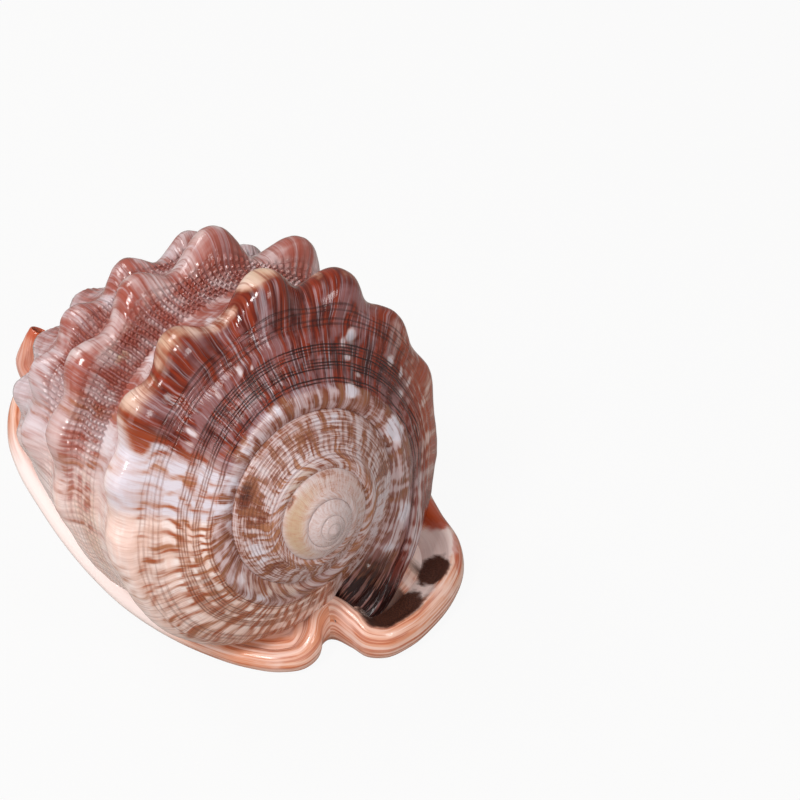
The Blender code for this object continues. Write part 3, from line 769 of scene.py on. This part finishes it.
def glazed_lip(colours):
    """Thick callus laid in thin sheets and polished by the animal: lines run with the rim under a glaze."""
    made, tree = fresh_material("glazed_lip_callus")
    read = {}
    for name in ("around", "across", "hollow_shade", "stain", "white", "rust", "crust"):
        read[name] = node(tree, "Attribute", out=2, attribute_name=name)

    # Sheets about 2 mm wide and lines about 0.6 mm wide; both values are in millimetres.
    marks = growth_marks(tree, read["around"], read["across"], 0.55, (
        ("sheets", 0.035, 0.34, 2.0),
        ("lines", 0.045, 0.95, 2.0),
        ("clouds", 0.12, 0.10, 2.0),
        ("grains", 2.2, 2.2, 2.0),
    ))
    masks = {}
    for name, value, low, high in (
        ("sheeted", marks["sheets"], 0.34, 0.66),
        ("lined", marks["lines"], 0.54, 0.64),
        ("bright", marks["lines"], 0.46, 0.34),
        ("cloudy", marks["clouds"], 0.50, 0.75),
        ("grained", marks["grains"], 0.42, 0.60),
    ):
        levels = {0: value, 1: low, 2: high, 3: 0.0, 4: 1.0}
        masks[name] = node(tree, "MapRange", levels, interpolation_type="SMOOTHSTEP")
    colour = glazes(tree, colours.peach, (
        (colours.salmon, 1.0, masks["sheeted"]),
        (colours.lip_line, 0.55, masks["lined"]),
        (colours.pale_peach, 0.45, masks["bright"]),
        (colours.pale_peach, 0.30, masks["cloudy"]),
        (colours.callus, 1.0, read["white"]),
        (colours.deep_orange, 1.0, read["rust"]),
        (colours.stain, 1.0, read["stain"]),
        (colours.tan, 0.55, read["stain"], masks["grained"]),
        (colours.pearl, 0.7, read["crust"], masks["grained"]),
        # painted shade: darker deep in the mouth and in the canal's bore
        (colours.throat, 1.0, read["hollow_shade"]),
    ))
    rough = node(tree, "Math", {0: marks["grains"], 1: read["stain"]}, operation="MULTIPLY")
    heights = ((marks["sheets"], 0.5), (marks["lines"], 0.6), (rough, 1.5))
    gloss(tree, colour, heights, 0.35, 0.3, ((marks["lines"], 0.14), (read["stain"], 0.35), (1.0, 0.08)))
    return made


def grid_sheet(name, columns, rows):
    """A flat grid from 0 to 1 in x and y, ready to be laid on a surface."""
    bpy.ops.object.select_all(action="DESELECT")
    bpy.ops.mesh.primitive_grid_add(
        x_subdivisions=columns, y_subdivisions=rows, size=1.0, location=(0.5, 0.5, 0.0))
    made = bpy.context.active_object
    made.name = name
    made.data.name = name
    bpy.ops.object.transform_apply(location=True, rotation=False, scale=False)
    flat = np.empty(len(made.data.vertices) * 3, np.float32)
    made.data.vertices.foreach_get("co", flat)
    flat = flat.reshape(-1, 3).astype(float)
    return made, flat[:, 0], flat[:, 1]


def lay(made, points):
    made.data.vertices.foreach_set("co", points.astype(np.float32).ravel())
    made.data.update()


def paint(made, values):
    """Writes each value, given by vertex, on the mesh's face corners, so that welded edges keep both."""
    mesh = made.data
    corner = np.empty(len(mesh.loops), np.int32)
    mesh.loops.foreach_get("vertex_index", corner)
    for name, value in values.items():
        layer = mesh.attributes.new(name, "FLOAT", "CORNER")
        layer.data.foreach_set("value", value[corner].astype(np.float32))


def bake_map(made, across, down):
    """A clean map of the whole piece, in rows and columns of its surface."""
    mesh = made.data
    corner = np.empty(len(mesh.loops), np.int32)
    mesh.loops.foreach_get("vertex_index", corner)
    while mesh.uv_layers:
        mesh.uv_layers.remove(mesh.uv_layers[0])
    layer = mesh.uv_layers.new(name="OFBake")
    spots = MAP_MARGIN + (1 - 2 * MAP_MARGIN) * np.stack([across[corner], down[corner]], axis=1)
    layer.uv.foreach_set("vector", spots.astype(np.float32).ravel())


def close_up(made, holes):
    """Welds meeting edges, fills each hole by a fan to its own point and turns the faces outwards."""
    mesh = made.data
    shape = bmesh.new()
    shape.from_mesh(mesh)
    bmesh.ops.remove_doubles(shape, verts=shape.verts, dist=WELD)
    bmesh.ops.dissolve_degenerate(shape, edges=shape.edges, dist=WELD)
    for point, reach in holes:
        rim = [e for e in shape.edges if e.is_boundary and reach(e)]
        middle = shape.verts.new(point)
        for edge in rim:
            shape.faces.new((edge.verts[0], edge.verts[1], middle))
    shape.to_mesh(mesh)
    shape.free()
    bpy.ops.object.select_all(action="DESELECT")
    made.select_set(True)
    bpy.context.view_layer.objects.active = made
    bpy.ops.object.mode_set(mode="EDIT")
    bpy.ops.mesh.select_all(action="SELECT")
    bpy.ops.mesh.normals_make_consistent(inside=False)
    bpy.ops.object.mode_set(mode="OBJECT")
    bpy.ops.object.shade_smooth_by_angle(angle=math.radians(50.0))


def smooth_seam(made, spots, normals):
    """Gives the points at these spots the surface's own normal, so that two pieces meet without a line."""
    mesh = made.data
    points = np.empty(len(mesh.vertices) * 3, np.float32)
    mesh.vertices.foreach_get("co", points)
    tree = kdtree.KDTree(len(spots))
    for k, spot in enumerate(spots):
        tree.insert(spot, k)
    tree.balance()
    chosen = np.zeros((len(mesh.vertices), 3))
    for k, point in enumerate(points.reshape(-1, 3)):
        _, which, away = tree.find(point)
        if away < 1e-5:
            chosen[k] = normals[which]
    mesh.normals_split_custom_set_from_vertices(chosen)


def settle(made, finish, build):
    """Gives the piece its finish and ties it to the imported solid."""
    material = bpy.data.materials.get(finish) or build(bpy.context.scene.shell_colours)
    made.data.materials.clear()
    made.data.materials.append(material)
    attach(made, "root")
    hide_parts(NODE)


def coil_piece(name, columns, turns, places, hub, tip=None):
    """A sheet of the coil over these turns and places. A fan to the hub inside closes its edges, and its
    last row closes on the tip where one is given."""
    rows = np.array([*places, places[-1]] if tip else places)
    made, u, v = grid_sheet(name, columns, len(rows) - 1)
    row = np.rint(v * (len(rows) - 1)).astype(int)
    place = rows[row]
    turn = turns[0] + (turns[1] - turns[0]) * u
    points = body_point(turn, place)
    if tip:
        points[row == len(rows) - 1] = tip
    lay(made, points)
    paint(made, coil_tones(turn, place))
    bake_map(made, u, v)
    close_up(made, [(hub, lambda edge: True)])
    settle(made, "glazed_coil_shell", glazed_coil)
    return made


def seam_places(turn, place):
    """Points of the coil's surface and its outward directions there."""
    turn, place = np.broadcast_arrays(np.asarray(turn, float), np.asarray(place, float))
    return body_point(turn, place), body_normal(turn, place)


class SHELL_PG_sizes(bpy.types.PropertyGroup):
    """Fineness of the shell's surface and levels of the light"""

    shoulder_columns: bpy.props.IntProperty(
        name="Shoulder columns", description="Steps round the shoulder", default=660, min=60, max=700)
    front_columns: bpy.props.IntProperty(
        name="Front columns", description="Steps round the front", default=1080, min=60, max=1100)
    spire_columns: bpy.props.IntProperty(
        name="Spire columns", description="Steps round each turn", default=300, min=40, max=600)
    lip_steps: bpy.props.IntProperty(
        name="Lip steps", description="Steps round the lip and shield", default=600, min=60, max=700)
    key_power: bpy.props.FloatProperty(
        name="Key lamp", description="Power of the lamp at the left", default=4.2, min=0.0, unit="POWER")
    fill_power: bpy.props.FloatProperty(
        name="Fill lamps", description="Power of the other lamps", default=2.7, min=0.0, unit="POWER")
    surround: bpy.props.FloatProperty(
        name="Surround", description="White light from all round", default=0.38, min=0.0, max=1.0)


def tint(label, hexed, what):
    return bpy.props.FloatVectorProperty(
        name=label, description=what, subtype="COLOR", size=4, min=0.0, max=1.0, default=linear(hexed))


class SHELL_PG_colours(bpy.types.PropertyGroup):
    """Colours of the shell's markings"""

    blush: tint("Blush", "#eecdc1", "Pale ground of the last turn")
    pale_blush: tint("Pale blush", "#f5e2dc", "Lighter clouds in the pale ground")
    lavender: tint("Lavender", "#d8ced6", "Cool pale flames and shoulder")
    dusk: tint("Dusk", "#8c5c5c", "Dull pink between the dark cords")
    pearl: tint("Pearl", "#d6c0b6", "Worn turns at the top of the spire")
    cream: tint("Cream", "#c0a07e", "Knob tips and cream cells")
    dark_red: tint("Dark red", "#52150c", "Darker half of the brown belts")
    rust: tint("Rust", "#862c12", "Lighter half of the brown belts")
    orange: tint("Orange", "#a03e10", "Orange brown by the lip and in the plaid")
    rose: tint("Rose", "#a0564a", "Rose brown in front of the knobs")
    amber: tint("Amber", "#bc8060", "Thin brown glaze over the pale ground")
    blossom: tint("Blossom", "#c8988e", "Thin rose glaze in front of the knobs")
    ochre: tint("Ochre", "#a46c4a", "Lighter brown in the worn and early parts")
    tan: tint("Tan", "#6c3e2a", "Brown of the flames at the seam")
    plaid: tint("Plaid", "#84442c", "Lines of the plaid")
    ink: tint("Ink", "#2a0f0d", "Darkest lines and patches")
    hairline: tint("Hairline", "#7c3c2e", "Fine growth lines")
    # Partly the shell's brown-red and partly painted shade in the gaps round the beads.
    groove_shade: tint("Groove", "#74281f", "Grooves round the beads")
    # Painted shade along the crease where the turns meet.
    seam: tint("Seam", "#5c3a36", "Line where turns meet")
    peach: tint("Peach", "#eabba6", "Ground of the lip")
    pale_peach: tint("Pale peach", "#f6dcd2", "Light sheets of the lip")
    salmon: tint("Salmon", "#d68a66", "Darker sheets of the lip")
    lip_line: tint("Lip lines", "#ac4a24", "Thin lines along the lip")
    callus: tint("Callus", "#fbe9e4", "Smooth pink floor inside the lip")
    deep_orange: tint("Deep orange", "#b84418", "Orange inside the lip")
    stain: tint("Stain", "#371c15", "Dark stains inside the lip")
    # Painted shade deep in the mouth and in the canal's bore.
    throat: tint("Throat", "#5e2415", "Inside of the mouth and the canal")
    floor: tint("Floor", "#ffffff", "Floor under the shell")
    floor_shade: tint("Floor shade", "#b0aca8", "Floor where it only catches light")


class SHELL_OT_spire(bpy.types.Operator):
    """Model the turns of the spire up to the apex"""

    bl_idname = "shell.spire"
    bl_label = "Spire"

    def execute(self, context):
        columns = context.scene.shell_sizes.spire_columns
        first = START_TURN - SPIRE_TURNS
        places = np.linspace(0.0, NEXT_SUTURE, 31)
        hub = (APEX[0], APEX[1] + 0.03, APEX[2])
        made = coil_piece("spire", columns * SPIRE_TURNS, (first, START_TURN), places, hub)
        smooth_seam(made, *seam_places(START_TURN, places))
        return {"FINISHED"}


class SHELL_OT_shoulder(bpy.types.Operator):
    """Model the shoulder of the last turn with its first row of knobs"""

    bl_idname = "shell.shoulder"
    bl_label = "Shoulder of the last turn"

    def execute(self, context):
        columns = context.scene.shell_sizes.shoulder_columns
        places = np.concatenate([
            np.linspace(0.0, NEXT_SUTURE, 86)[:-1],
            np.linspace(NEXT_SUTURE, SHOULDER_END, 56),
        ])
        hub = (APEX[0], APEX[1] + 0.045, APEX[2] - 0.002)
        made = coil_piece("shoulder", columns, (START_TURN, LIP_TURN), places, hub)
        turns = START_TURN + np.arange(columns + 1) / columns
        below = seam_places(turns, SHOULDER_END)
        behind = seam_places(START_TURN, places)
        smooth_seam(made, *(np.concatenate(pair) for pair in zip(below, behind)))
        return {"FINISHED"}


class SHELL_OT_front(bpy.types.Operator):
    """Model the front of the last turn with its beads and lower rows of knobs"""

    bl_idname = "shell.front"
    bl_label = "Front of the last turn"

    def execute(self, context):
        columns = context.scene.shell_sizes.front_columns
        places = np.concatenate([
            np.linspace(SHOULDER_END, 0.505, 37)[:-1],
            np.linspace(0.505, 0.583, 12)[:-1],
            np.linspace(0.583, 0.625, 13)[:-1],
            np.linspace(0.625, 1.0, 28),
        ])
        hub = (APEX[0], APEX[1] + 0.06, APEX[2] - 0.012)
        tip = tuple(body_point(np.linspace(START_TURN, LIP_TURN, 40), 1.0).mean(axis=0))
        made = coil_piece("front", columns, (START_TURN, LIP_TURN), places, hub, tip)
        turns = START_TURN + np.arange(columns + 1) / columns
        smooth_seam(made, *seam_places(turns, SHOULDER_END))
        return {"FINISHED"}


def closed_curve(rows, steps):
    """Even samples of a smooth closed curve through the rows, spaced by its length in x and y, and the
    row number of each sample."""
    rows = np.array(rows, float)
    looped = np.concatenate([rows[-3:], rows, rows[:3]])
    run = lengths_along(looped[:, :2])
    start = run[3]
    end = run[3 + len(rows)]
    where = start + (end - start) * np.arange(steps) / steps
    columns = [smooth_curve(where, run, looped[:, k]) for k in range(rows.shape[1])]
    number = np.interp(where, run, np.arange(len(looped)) - 3.0)
    return np.stack(columns, axis=1), number


class SHELL_OT_lip(bpy.types.Operator):
    """Model the flared lip, the shield and the toothed mouth"""

    bl_idname = "shell.lip"
    bl_label = "Lip and shield"

    def execute(self, context):
        steps = context.scene.shell_sizes.lip_steps
        rim, number = closed_curve(OUTLINE, steps)
        centre = rim[:, :2]
        ahead = np.roll(centre, -1, axis=0) - np.roll(centre, 1, axis=0)
        # across the rim, evened out along it so that the rows don't cross where it bends
        inward = unit(np.stack([-ahead[:, 1], ahead[:, 0]], axis=1))
        for _ in range(60):
            inward = unit(inward + 0.5 * (np.roll(inward, 1, axis=0) + np.roll(inward, -1, axis=0)))
        height = rim[:, 2]
        depth = rim[:, 3]
        middle = np.array((-6.0, 2.0))

        # the mouth's edge, matched step by step with the rim: up the lip side, back down the shield side
        mouth = np.array(MOUTH)
        run = lengths_along(mouth[:, :2])
        tip = np.argmin(np.abs(number - CANAL_TIP_ROW))
        k = np.arange(steps)
        lip_side = k <= tip
        share = np.where(lip_side, k / tip, (steps - k) / (steps - tip))
        arc = share * run[-1]
        course = np.column_stack([run, mouth])
        slot = np.stack(table_curves(arc, course), axis=1)
        slot_ahead = np.stack(table_curves(arc + 0.5, course), axis=1) - np.stack(
            table_curves(arc - 0.5, course), axis=1)
        slot_side = unit(np.stack([slot_ahead[:, 1], -slot_ahead[:, 0]], axis=1))
        sign = np.where(lip_side, 1.0, -1.0)
        pinch = np.sqrt(np.clip(1 - (2 * share - 1) ** 10, 0, 1))
        lip_teeth = np.cos(2 * math.pi * arc / TOOTH_PITCH)
        shield_folds = 0.6 * np.cos(2 * math.pi * arc / FOLD_PITCH + 1.0 + wander(arc / 9))
        teeth = np.where(lip_side, lip_teeth, shield_folds)
        teeth = teeth * ease((arc - 4) / 8) * ease((run[-1] - arc - 6) / 10)

        def slot_ring(widen, up_fixed, up_share, tooth):
            half = (slot[:, 2] * widen - teeth * tooth) * pinch
            flat = slot[:, :2] + slot_side * (sign * half)[:, None]
            return np.column_stack([flat, up_fixed + slot[:, 3] * up_share])

        rings = []
        tones = []

        def ring(points, hollow_shade=0.0, above=0.0, inside=0.0):
            rings.append(points)
            tones.append((hollow_shade, above, inside))

        # throat, painted darker further up into the mouth as painted shade
        for up, widen, tooth in (
            (1.0, 0.0, 0.0), (1.0, 0.16, 0.0), (0.97, 0.28, 0.0), (0.85, 0.42, 0.1), (0.66, 0.58, 0.2),
            (0.5, 0.68, 0.3), (0.36, 0.78, 0.45), (0.24, 0.86, 0.6), (0.15, 0.93, 0.8),
        ):
            ring(slot_ring(widen, 1.6, up, tooth), float(ease((up - 0.12) / 0.4)))
        # underside, from the mouth's rounded edge to the rim
        outer = centre + inward * depth[:, None]
        edge = slot_ring(1.0, 0.0, 0.0, 0.85)[:, :2]
        shares = np.concatenate([np.linspace(0, 0.3, 26)[:-1], np.linspace(0.3, 1.0, 22)])
        for share_out in shares:
            flat = edge + (outer - edge) * share_out
            far = np.linalg.norm(outer - edge, axis=1) * share_out
            reach = np.where(lip_side, 9.0, 13.0)
            fade = np.exp(-((far / reach) ** 2))
            sink = 3.2 * np.exp(-((far / 2.2) ** 2)) + 2.0 * np.exp(-((far / 16.0) ** 2))
            rise = 0.75 * (teeth + np.where(lip_side, 0.6, 0.4)) * fade * ease(far / 1.5 + 0.3)
            up = np.maximum(sink - rise, 0.0) * ease((1 - share_out) / 0.25)
            ring(np.column_stack([flat, up]))
        # rim and top
        section = np.array(RIM_SECTION)
        marks = np.arange(len(section))
        for w in np.linspace(0, len(section) - 1, 36)[1:]:
            share_in = smooth_curve(w, marks, section[:, 0])
            share_up = smooth_curve(w, marks, section[:, 1])
            points = np.column_stack([centre + inward * (depth * share_in)[:, None], height * share_up])
            ring(points, above=float(w > 4), inside=float(ease((w - 5.2) / 0.8)))
        # floor inside the rim, then under the coiled body to one point
        rim_end = rings[-1]
        flat = centre + inward * (depth * 1.9)[:, None]
        flat = flat + (middle - flat) * 0.06
        floor_edge = np.column_stack([flat, rim[:, 4]])
        flat = flat + (middle - flat) * 0.26
        under_body = np.column_stack([flat, np.maximum(rim[:, 4], 15.0)])
        top = np.tile(np.array((*middle, THROAT_TOP)), (steps, 1))
        for first, second, shares in (
            (rim_end, floor_edge, np.linspace(0, 1, 9)[1:]),
            (floor_edge, under_body, (0.34, 0.67, 1.0)),
            (under_body, top, (0.5, 1.0)),
        ):
            for w in shares:
                ring(first + (second - first) * w, above=1.0, inside=1.0)

        rows = len(rings)
        made, u, v = grid_sheet("lip_and_shield", steps, rows - 1)
        i = np.rint(v * (rows - 1)).astype(int)
        j = np.rint(u * steps).astype(int)
        table = np.array(rings)
        spots = table[i, j % steps] * MM
        lay(made, spots)
        x, y, _ = spots.T / MM
        runs = np.linalg.norm(np.diff(table, axis=0), axis=2).mean(axis=1)
        across = np.concatenate([[0.0], np.cumsum(runs)])[i]
        hollow_shade, above, inside = np.array(tones)[i].T
        around = u * np.hypot(*(centre - np.roll(centre, 1, axis=0)).T).sum()

        def spot(at_x, at_y, reach_ahead, reach_aside, lean=0.0):
            """A ragged patch on the top of the lip; lean turns it from the x axis."""
            ahead = ((x - at_x) * math.cos(lean) + (y - at_y) * math.sin(lean)) / reach_ahead
            aside = ((y - at_y) * math.cos(lean) - (x - at_x) * math.sin(lean)) / reach_aside
            ragged = 1 + 0.14 * wander(x * 0.5, y * 0.5) + 0.12 * wander(x * 1.3, y * 1.3)
            away = np.hypot(ahead, aside)
            return ease((1.1 - away * ragged) / 0.25) * ease((1.3 - away) / 0.1) * above

        frayed = y + 7.0 * wander(across * 0.9, y * 0.02)
        outwards = -27.5 - x + 2.0 * wander(y * 0.09, across * 0.3)
        glazed = between(frayed, -26.0, 44.0, 16.0) * ease(outwards / 10.0)
        pink_floor = spot(25.5, -49.0, 7.0, 5.5, 0.9) + spot(15.0, -58.0, 4.5, 3.2, 0.9)
        stains = np.maximum(spot(4.6, -60.2, 9.8, 5.8, 0.12), spot(20.8, -54.6, 5.8, 3.6, 0.93))
        paint(made, {
            "around": around,
            "across": across,
            "hollow_shade": hollow_shade,
            "stain": inside * stains,
            "white": np.clip(0.95 * glazed + 0.8 * pink_floor, 0, 1),
            "rust": np.maximum(0.9 * spot(31.5, -41.5, 4.0, 5.0), 0.55 * spot(29.0, -54.0, 8.0, 1.6, 1.0)),
            "crust": inside * spot(-1.5, -58.5, 2.4, 1.0, 0.4),
        })
        bake_map(made, u, v)
        close_up(made, [])
        settle(made, "glazed_lip_callus", glazed_lip)
        return {"FINISHED"}


class SHELL_OT_canal(bpy.types.Operator):
    """Model the upturned siphonal canal"""

    bl_idname = "shell.canal"
    bl_label = "Siphonal canal"

    def execute(self, context):
        line = np.array(CANAL)
        run = lengths_along(line[:, :3])
        end = run[-1]

        def at(distance):
            """Place and radius of the canal, this far along it."""
            return np.stack(table_curves(distance, np.column_stack([run, line])), axis=-1)

        # outside from its root to the opening, over the edge and down the bore: distance, share of
        # the radius
        outside = [(d, 1.0) for d in np.linspace(0, end - 0.8, 60)]
        edge = [(end - 0.4, 0.985), (end - 0.1, 0.94), (end, 0.88), (end - 0.12, 0.81), (end - 0.5, 0.77)]
        bore = [(d, 0.74 - 0.12 * (end - d) / 12) for d in np.linspace(end - 1.0, end - 12, 22)]
        course = outside + edge + bore
        around = 96
        made, u, v = grid_sheet("canal", around, len(course) - 1)
        i = np.rint(v * (len(course) - 1)).astype(int)
        table = np.array(course)
        distance = table[i, 0]
        share = table[i, 1]
        here = at(distance)
        step = 0.3
        ahead = unit(at(distance + step)[:, :3] - at(distance - step)[:, :3])
        side = unit(np.cross(ahead, np.array((1.0, 0.1, 0.0))))
        other = np.cross(ahead, side)
        turn = 2 * math.pi * u
        wave = 1 + 0.02 * wander(distance * 1.1, u * 0) + 0.012 * np.cos(6 * turn + 1)
        reach = here[:, 3] * share * np.where(i < len(outside), wave, 1.0)
        out = np.cos(turn)[:, None] * side + np.sin(turn)[:, None] * other
        lay(made, (here[:, :3] + reach[:, None] * out) * MM)
        # The bore darkens inwards from its opening: painted shade.
        inside = ease((i - len(outside) - 2) / 6.0)
        paint(made, {
            "around": 40 + distance,
            "across": u * 26 + 0.4 * distance,
            "hollow_shade": 0.75 * inside,
            "rust": 0.35 * (1 - inside) + 0.5 * between(i, len(outside) - 2, len(outside) + 6, 3.0),
        })
        bake_map(made, u, v)
        root = tuple(line[0, :3] * MM)
        throat = tuple(at(np.array([end - 13.0]))[0, :3] * MM)
        half_way = 50.0 * MM
        close_up(made, [
            (root, lambda edge: edge.verts[0].co.y < half_way),
            (throat, lambda edge: edge.verts[0].co.y >= half_way),
        ])
        settle(made, "glazed_lip_callus", glazed_lip)
        return {"FINISHED"}


class SHELL_OT_stage(bpy.types.Operator):
    """Set the pale floor, the soft lamps and the camera"""

    bl_idname = "shell.stage"
    bl_label = "Stage"

    def execute(self, context):
        scene = context.scene
        bpy.ops.object.select_all(action="DESELECT")
        bpy.ops.mesh.primitive_plane_add(size=FLOOR_SIZE, location=(0, 0, -FLOOR_GAP))
        floor = context.active_object
        floor.name = "floor"
        sizes = scene.shell_sizes
        colours = scene.shell_colours
        # Nearly white to the camera; the rest takes the shell's shadow.
        made, tree = fresh_material("pale_floor")
        rays = node(tree, "LightPath", out=None)
        share = node(tree, "Math", {0: rays.outputs["Is Camera Ray"], 1: 0.93}, operation="MULTIPLY")
        matt = node(tree, "BsdfDiffuse", {"Color": colours.floor_shade})
        glow = node(tree, "Emission", {"Color": colours.floor, "Strength": 1.0})
        mixed = node(tree, "MixShader", {0: share, 1: matt, 2: glow})
        node(tree, "OutputMaterial", {0: mixed})
        floor.data.materials.append(made)

        world = bpy.data.worlds.new("soft_white")
        scene.world = world
        world.use_nodes = True
        background = world.node_tree.nodes["Background"]
        background.inputs["Color"].default_value = linear("#ffffff")
        # The camera sees white past the floor; the light on the shell stays at the surround level.
        seen = node(world.node_tree, "LightPath", out=None).outputs["Is Camera Ray"]
        whiter = {0: seen, 1: 1.0 - sizes.surround, 2: sizes.surround}
        lit = node(world.node_tree, "Math", whiter, operation="MULTIPLY_ADD")
        world.node_tree.links.new(lit, background.inputs["Strength"])

        for name, place, size, power in (
            ("key_lamp", (-0.55, -0.22, 0.70), 0.18, sizes.key_power),
            ("front_lamp", (0.10, -0.85, 0.55), 0.30, sizes.fill_power),
            ("back_lamp", (-0.25, 0.50, 0.75), 0.30, sizes.fill_power),
            ("left_lamp", (-0.75, -0.10, 0.16), 0.35, 0.28 * sizes.fill_power),
        ):
            lamp = bpy.data.lights.new(name, "AREA")
            lamp.shape = "SQUARE"
            lamp.size = size
            lamp.energy = power
            holder = bpy.data.objects.new(name, lamp)
            scene.collection.objects.link(holder)
            holder.location = place
            aim = Vector(LAMPS_AIM) - Vector(place)
            holder.rotation_euler = aim.to_track_quat("-Z", "Y").to_euler()

        camera_data = bpy.data.cameras.new("camera")
        camera = bpy.data.objects.new("camera", camera_data)
        scene.collection.objects.link(camera)
        camera_data.sensor_width = 36.0
        camera_data.lens = CAMERA_LENS
        camera_data.clip_start = 0.01
        camera.location = CAMERA_PLACE
        camera.rotation_euler = (math.radians(90.0 - CAMERA_HEIGHT), 0.0, math.radians(CAMERA_TURN))
        scene.camera = camera
        scene.view_settings.view_transform = "Standard"
        return {"FINISHED"}


class SHELL_PT_panel(bpy.types.Panel):
    """Lists the steps that make the shell"""

    bl_idname = "SHELL_PT_panel"
    bl_label = "Helmet shell"
    bl_space_type = "VIEW_3D"
    bl_region_type = "UI"
    bl_category = "Helmet shell"

    def draw(self, context):
        for group in (context.scene.shell_sizes, context.scene.shell_colours):
            for name in group.bl_rna.properties.keys():
                if name not in ("rna_type", "name"):
                    self.layout.prop(group, name)
        for step in STEPS:
            self.layout.operator(step.bl_idname)


STEPS = (SHELL_OT_spire, SHELL_OT_shoulder, SHELL_OT_front, SHELL_OT_lip, SHELL_OT_canal, SHELL_OT_stage)
CLASSES = (SHELL_PG_sizes, SHELL_PG_colours, *STEPS, SHELL_PT_panel)


def register():
    for found in CLASSES:
        bpy.utils.register_class(found)
    bpy.types.Scene.shell_sizes = bpy.props.PointerProperty(type=SHELL_PG_sizes)
    bpy.types.Scene.shell_colours = bpy.props.PointerProperty(type=SHELL_PG_colours)


def unregister():
    del bpy.types.Scene.shell_sizes
    del bpy.types.Scene.shell_colours
    for found in reversed(CLASSES):
        bpy.utils.unregister_class(found)


def main():
    register()
    bpy.ops.shell.spire()
    bpy.ops.shell.shoulder()
    bpy.ops.shell.front()
    bpy.ops.shell.lip()
    bpy.ops.shell.canal()
    bpy.ops.shell.stage()


if __name__ == "__main__":
    main()
